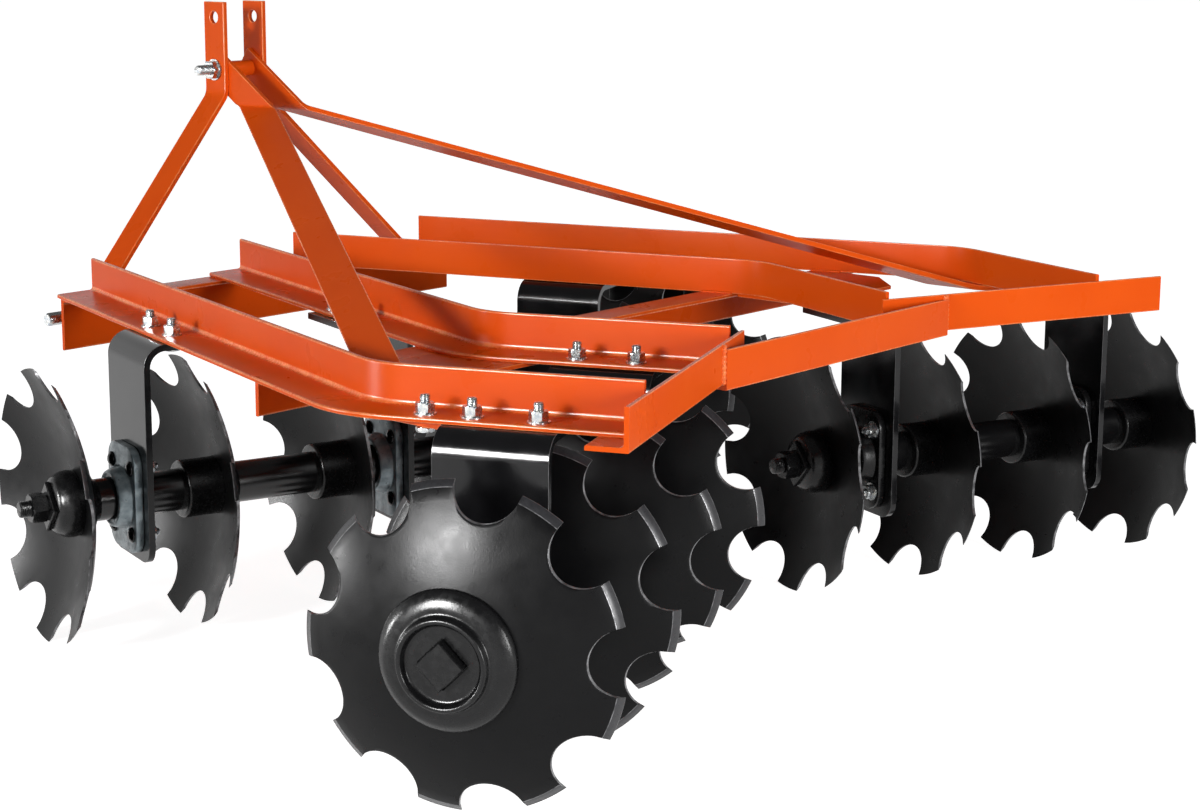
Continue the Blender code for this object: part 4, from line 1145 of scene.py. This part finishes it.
# Mast: two 52 x 9 mm flat bars, upright at the top where they carry the top link, sloping down to feet
# in front of the front iron. A brace runs back from inside each lug to the rear of an outer beam.
BAR_WIDTH = 0.052
BAR_WALL = 0.009
LUG_HALF_GAP = 0.040
MAST_LEAN = 0.074
MAST_BEND_DROP = 0.161
MAST_FOOT_INSET = 0.106
MAST_FOOT_RISE = 0.007
LINK_HOLE_RADIUS = 0.0105
LINK_HOLE_DROP = 0.027
MAST_BOLT_DROP = 0.118
MAST_BOLT_RADIUS = 0.009
PIN_DROP = 0.0385
PIN_RADIUS = 0.011
BRACE_OVER_BOLT = 0.024
BRACE_BEND_DROP = 0.181
BRACE_BEND_BACK = 0.094
BRACE_END_X = 0.722
BRACE_FOOT_LENGTH = 0.094
SLANT_ROUNDS = 8
BEND_SPREAD = 0.012
BEND_STEPS = 6
MAST_EDGE_ROUND = 0.0015
ROD_COLUMNS = 48

front_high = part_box("cross_iron_front")[1]
mast_low, mast_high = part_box("mast_leg_left")
mast_y = front_high.y + MAST_LEAN
mast_top = mast_high.z
foot_x = front_high.x - MAST_FOOT_INSET
foot_y = front_high.y + HOLD_GAP + BAR_WIDTH / 2.0
bolt_z = mast_top - MAST_BOLT_DROP
pin_z = FRAME_BOTTOM - PIN_DROP


def flat_bar(path, halves):
    """A flat bar along a path, mitred at bends: each corner of its section is the path's point, plus or
    minus half its wall across the path in the X-Z plane, plus or minus half its width, a given vector."""
    along, half_cosine = mitred(path[:, [0, 2]])
    wall = BAR_WALL / 2.0 / half_cosine
    way = np.stack([along[:, 1] * wall, np.zeros(len(path)), -along[:, 0] * wall], axis=-1)
    return np.stack([path + way + halves, path + way - halves,
                     path - way - halves, path - way + halves], axis=1)


def cross_rod(rows, centre):
    """A turned body about a line along X through a given point."""
    return turned(rows, ROD_COLUMNS) + np.array(centre)


def cross_hole(radius, centre):
    """A cutter through a flat bar's wall at a given point."""
    half = BAR_WALL / 2.0 + DRILL_OVERRUN
    return cross_rod([(-half, radius), (half, radius)], centre)


for side_name, side in (("left", -1.0), ("right", 1.0)):
    lug_x = side * (LUG_HALF_GAP + BAR_WALL / 2.0)
    corners = np.array([(lug_x, mast_y, mast_top), (lug_x, mast_y, mast_top - MAST_BEND_DROP),
                        (side * foot_x, foot_y, FRAME_BOTTOM + MAST_FOOT_RISE),
                        (side * foot_x, foot_y, mast_low.z)])
    path = np.array(eased(corners, BEND_SPREAD, BEND_STEPS))
    halves = np.tile([0.0, BAR_WIDTH / 2.0, 0.0], (len(path), 1))
    leg = frame_piece("mast_bar_" + side_name, [skin(flat_bar(path, halves))], ["mast_leg_" + side_name])
    drill(leg, [cross_hole(LINK_HOLE_RADIUS, (lug_x, mast_y, mast_top - LINK_HOLE_DROP)),
                cross_hole(MAST_BOLT_RADIUS + HOLD_GAP, (lug_x, mast_y, bolt_z)),
                cross_hole(PIN_RADIUS + HOLD_GAP, (side * foot_x, foot_y, pin_z))])
    ease_edges(leg, width=MAST_EDGE_ROUND)

    inner_x = side * (LUG_HALF_GAP - BAR_WALL / 2.0 - HOLD_GAP)
    brace_end_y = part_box("brace_" + side_name)[0].y
    end_z = FRAME_BOTTOM - HOLD_GAP - BAR_WALL / 2.0
    bolt = np.array([inner_x, mast_y, bolt_z])
    bend = np.array([inner_x, mast_y - BRACE_BEND_BACK, mast_top - BRACE_BEND_DROP])
    end = np.array([side * BRACE_END_X, 0.0, end_z])
    # The foot's end is cut along X: its middle lies half the slanted width in front of that cut, and a
    # few rounds settle the slant.
    for _ in range(SLANT_ROUNDS):
        slant = math.hypot(end[0] - bend[0], end[1] - bend[1]) / abs(end[0] - bend[0])
        end[1] = brace_end_y + BAR_WIDTH * slant / 2.0
    level = np.array([end[0] - bend[0], end[1] - bend[1], 0.0])
    level /= np.linalg.norm(level)
    foot = end - level * BRACE_FOOT_LENGTH
    upper = (bend - bolt) / np.linalg.norm(bend - bolt)
    path = np.array(eased([bolt - upper * BRACE_OVER_BOLT, bend, foot, end], BEND_SPREAD, BEND_STEPS))
    square_cut = np.array([0.0, -upper[2], upper[1]]) * BAR_WIDTH / 2.0
    slant_cut = np.array([0.0, BAR_WIDTH * slant / 2.0, 0.0])
    share = np.clip((path - path[0]) @ upper / np.linalg.norm(bend - path[0]), 0.0, 1.0)
    halves = square_cut + (slant_cut - square_cut) * share[:, None]
    brace = frame_piece("brace_bar_" + side_name, [skin(flat_bar(path, halves))], ["brace_" + side_name])
    drill(brace, [cross_hole(MAST_BOLT_RADIUS + HOLD_GAP, bolt)])
    ease_edges(brace)

# Mast bolt and hitch pins: zinc-plated. The bolt holds lugs and braces together round a painted spacer
# tube, its nut and long thread on the left; each pin is shouldered and held inside its foot by a collar.
BOLT_HEAD_RADIUS = 0.017
BOLT_HEAD_LENGTH = 0.010
BOLT_NUT_LENGTH = 0.014
BOLT_TAIL_LENGTH = 0.040
BOLT_WASHER_RADIUS = 0.0185
BOLT_WASHER_WALL = 0.0025
BOLT_PITCH = 0.0022
SPACER_RADIUS = 0.014
PIN_COLLAR_RADIUS = 0.018
PIN_IN = 0.030
PIN_CHAMFER = 0.002

inside = LUG_HALF_GAP - BAR_WALL - 2.0 * HOLD_GAP
outside = LUG_HALF_GAP + BAR_WALL + HOLD_GAP
centre = (0.0, mast_y, bolt_z)
bolt_grids = [
    turned([(-outside, BOLT_WASHER_RADIUS), (-outside - BOLT_WASHER_WALL, BOLT_WASHER_RADIUS)], ROD_COLUMNS),
    hex_nut(-outside - BOLT_WASHER_WALL, -outside - BOLT_NUT_LENGTH, BOLT_HEAD_RADIUS),
    threaded(-outside - BOLT_NUT_LENGTH, -outside - BOLT_TAIL_LENGTH, MAST_BOLT_RADIUS, BOLT_PITCH),
    turned([(-outside, MAST_BOLT_RADIUS), (-inside, MAST_BOLT_RADIUS)], ROD_COLUMNS),
    turned([(inside, MAST_BOLT_RADIUS), (outside, MAST_BOLT_RADIUS)], ROD_COLUMNS),
    hex_nut(outside, outside + BOLT_HEAD_LENGTH, BOLT_HEAD_RADIUS)]
make_piece("mast_bolt_and_nut", [skin(grid + np.array(centre)) for grid in bolt_grids], [zinc], "frame",
           ["mast_bolt"])
spacer = cross_rod([(-inside, SPACER_RADIUS), (inside, SPACER_RADIUS)], centre)
make_piece("mast_spacer_tube", [skin(spacer)], [coat], "frame", [])

for side_name, side in (("left", -1.0), ("right", 1.0)):
    low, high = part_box("hitch_pin_" + side_name)
    tip = low.x if side < 0.0 else high.x
    root = high.x if side < 0.0 else low.x
    face = root + side * PIN_IN
    rows = [(root, PIN_COLLAR_RADIUS - PIN_CHAMFER), (root + side * PIN_CHAMFER, PIN_COLLAR_RADIUS),
            (face, PIN_COLLAR_RADIUS), (face, PIN_RADIUS), (tip - side * PIN_CHAMFER * 2.0, PIN_RADIUS),
            (tip, PIN_RADIUS - PIN_CHAMFER)]
    pin = cross_rod(rows, (0.0, foot_y, pin_z))
    make_piece("lower_hitch_pin_" + side_name, [skin(pin)], [zinc], "frame", ["hitch_pin_" + side_name])

# Frame bolts: zinc-plated bolts up through the hangers' tops, the braces' feet and the beams' flat legs,
# each with a washer, a nut and a short end of thread.
FLANGE_NUT_RADIUS = 0.0125
FLANGE_NUT_LENGTH = 0.013
FLANGE_WASHER_RADIUS = 0.0145
FLANGE_WASHER_WALL = 0.002
FLANGE_STUD_RADIUS = 0.0068
FLANGE_STUD_LENGTH = 0.025
FLANGE_IN_SHARE = 0.66
FLANGE_BOLT_SHIFT = 0.043
FLANGE_COLUMNS = 36
BRACE_BOLT_BACK = 0.105
UP_AXES = np.array([(0.0, 0.0, 1.0), (1.0, 0.0, 0.0), (0.0, 1.0, 0.0)])


def flange_fastener(x, y, under):
    """Nut, washer and thread on the flat leg at a plan point, and a head below what hangs under it."""
    top = FRAME_BOTTOM + IRON_WALL
    above = (np.array([x, y, top]), UP_AXES)
    below = (np.array([x, y, under]), UP_AXES)
    nut_top = FLANGE_WASHER_WALL + FLANGE_NUT_LENGTH
    washer = turned([(0.0, FLANGE_WASHER_RADIUS), (FLANGE_WASHER_WALL, FLANGE_WASHER_RADIUS)],
                    FLANGE_COLUMNS)
    nut = hex_nut(FLANGE_WASHER_WALL, nut_top, FLANGE_NUT_RADIUS, FLANGE_COLUMNS)
    stud = threaded(nut_top, FLANGE_STUD_LENGTH, FLANGE_STUD_RADIUS, SMALL_PITCH)
    head = hex_nut(0.0, -SMALL_HEAD_LENGTH, FLANGE_NUT_RADIUS, FLANGE_COLUMNS)
    return [skin(placed(grid, above)) for grid in (washer, nut, stud)] + [skin(placed(head, below))]


fastener_skins = []
hanger_under = FRAME_BOTTOM - HOLD_GAP - HANGER_WALL
for end_name in ("front", "rear"):
    for side_name in ("left", "right"):
        start, outward, onward = gang_lines(end_name, side_name)
        for place in ("outer", "inner"):
            station = BEAM_STATIONS[end_name, place] + BEAM_OUT * FLANGE_IN_SHARE
            for way in (-1.0, 1.0):
                spot = start + outward * station + onward * way * FLANGE_BOLT_SHIFT
                fastener_skins += flange_fastener(spot[0], spot[1], hanger_under)
            if (end_name, place) == ("rear", "outer"):
                spot = start + outward * station - onward * BRACE_BOLT_BACK
                fastener_skins += flange_fastener(spot[0], spot[1], FRAME_BOTTOM - HOLD_GAP - BAR_WALL)
make_piece("flange_bolts", fastener_skins, [zinc], "frame", [])
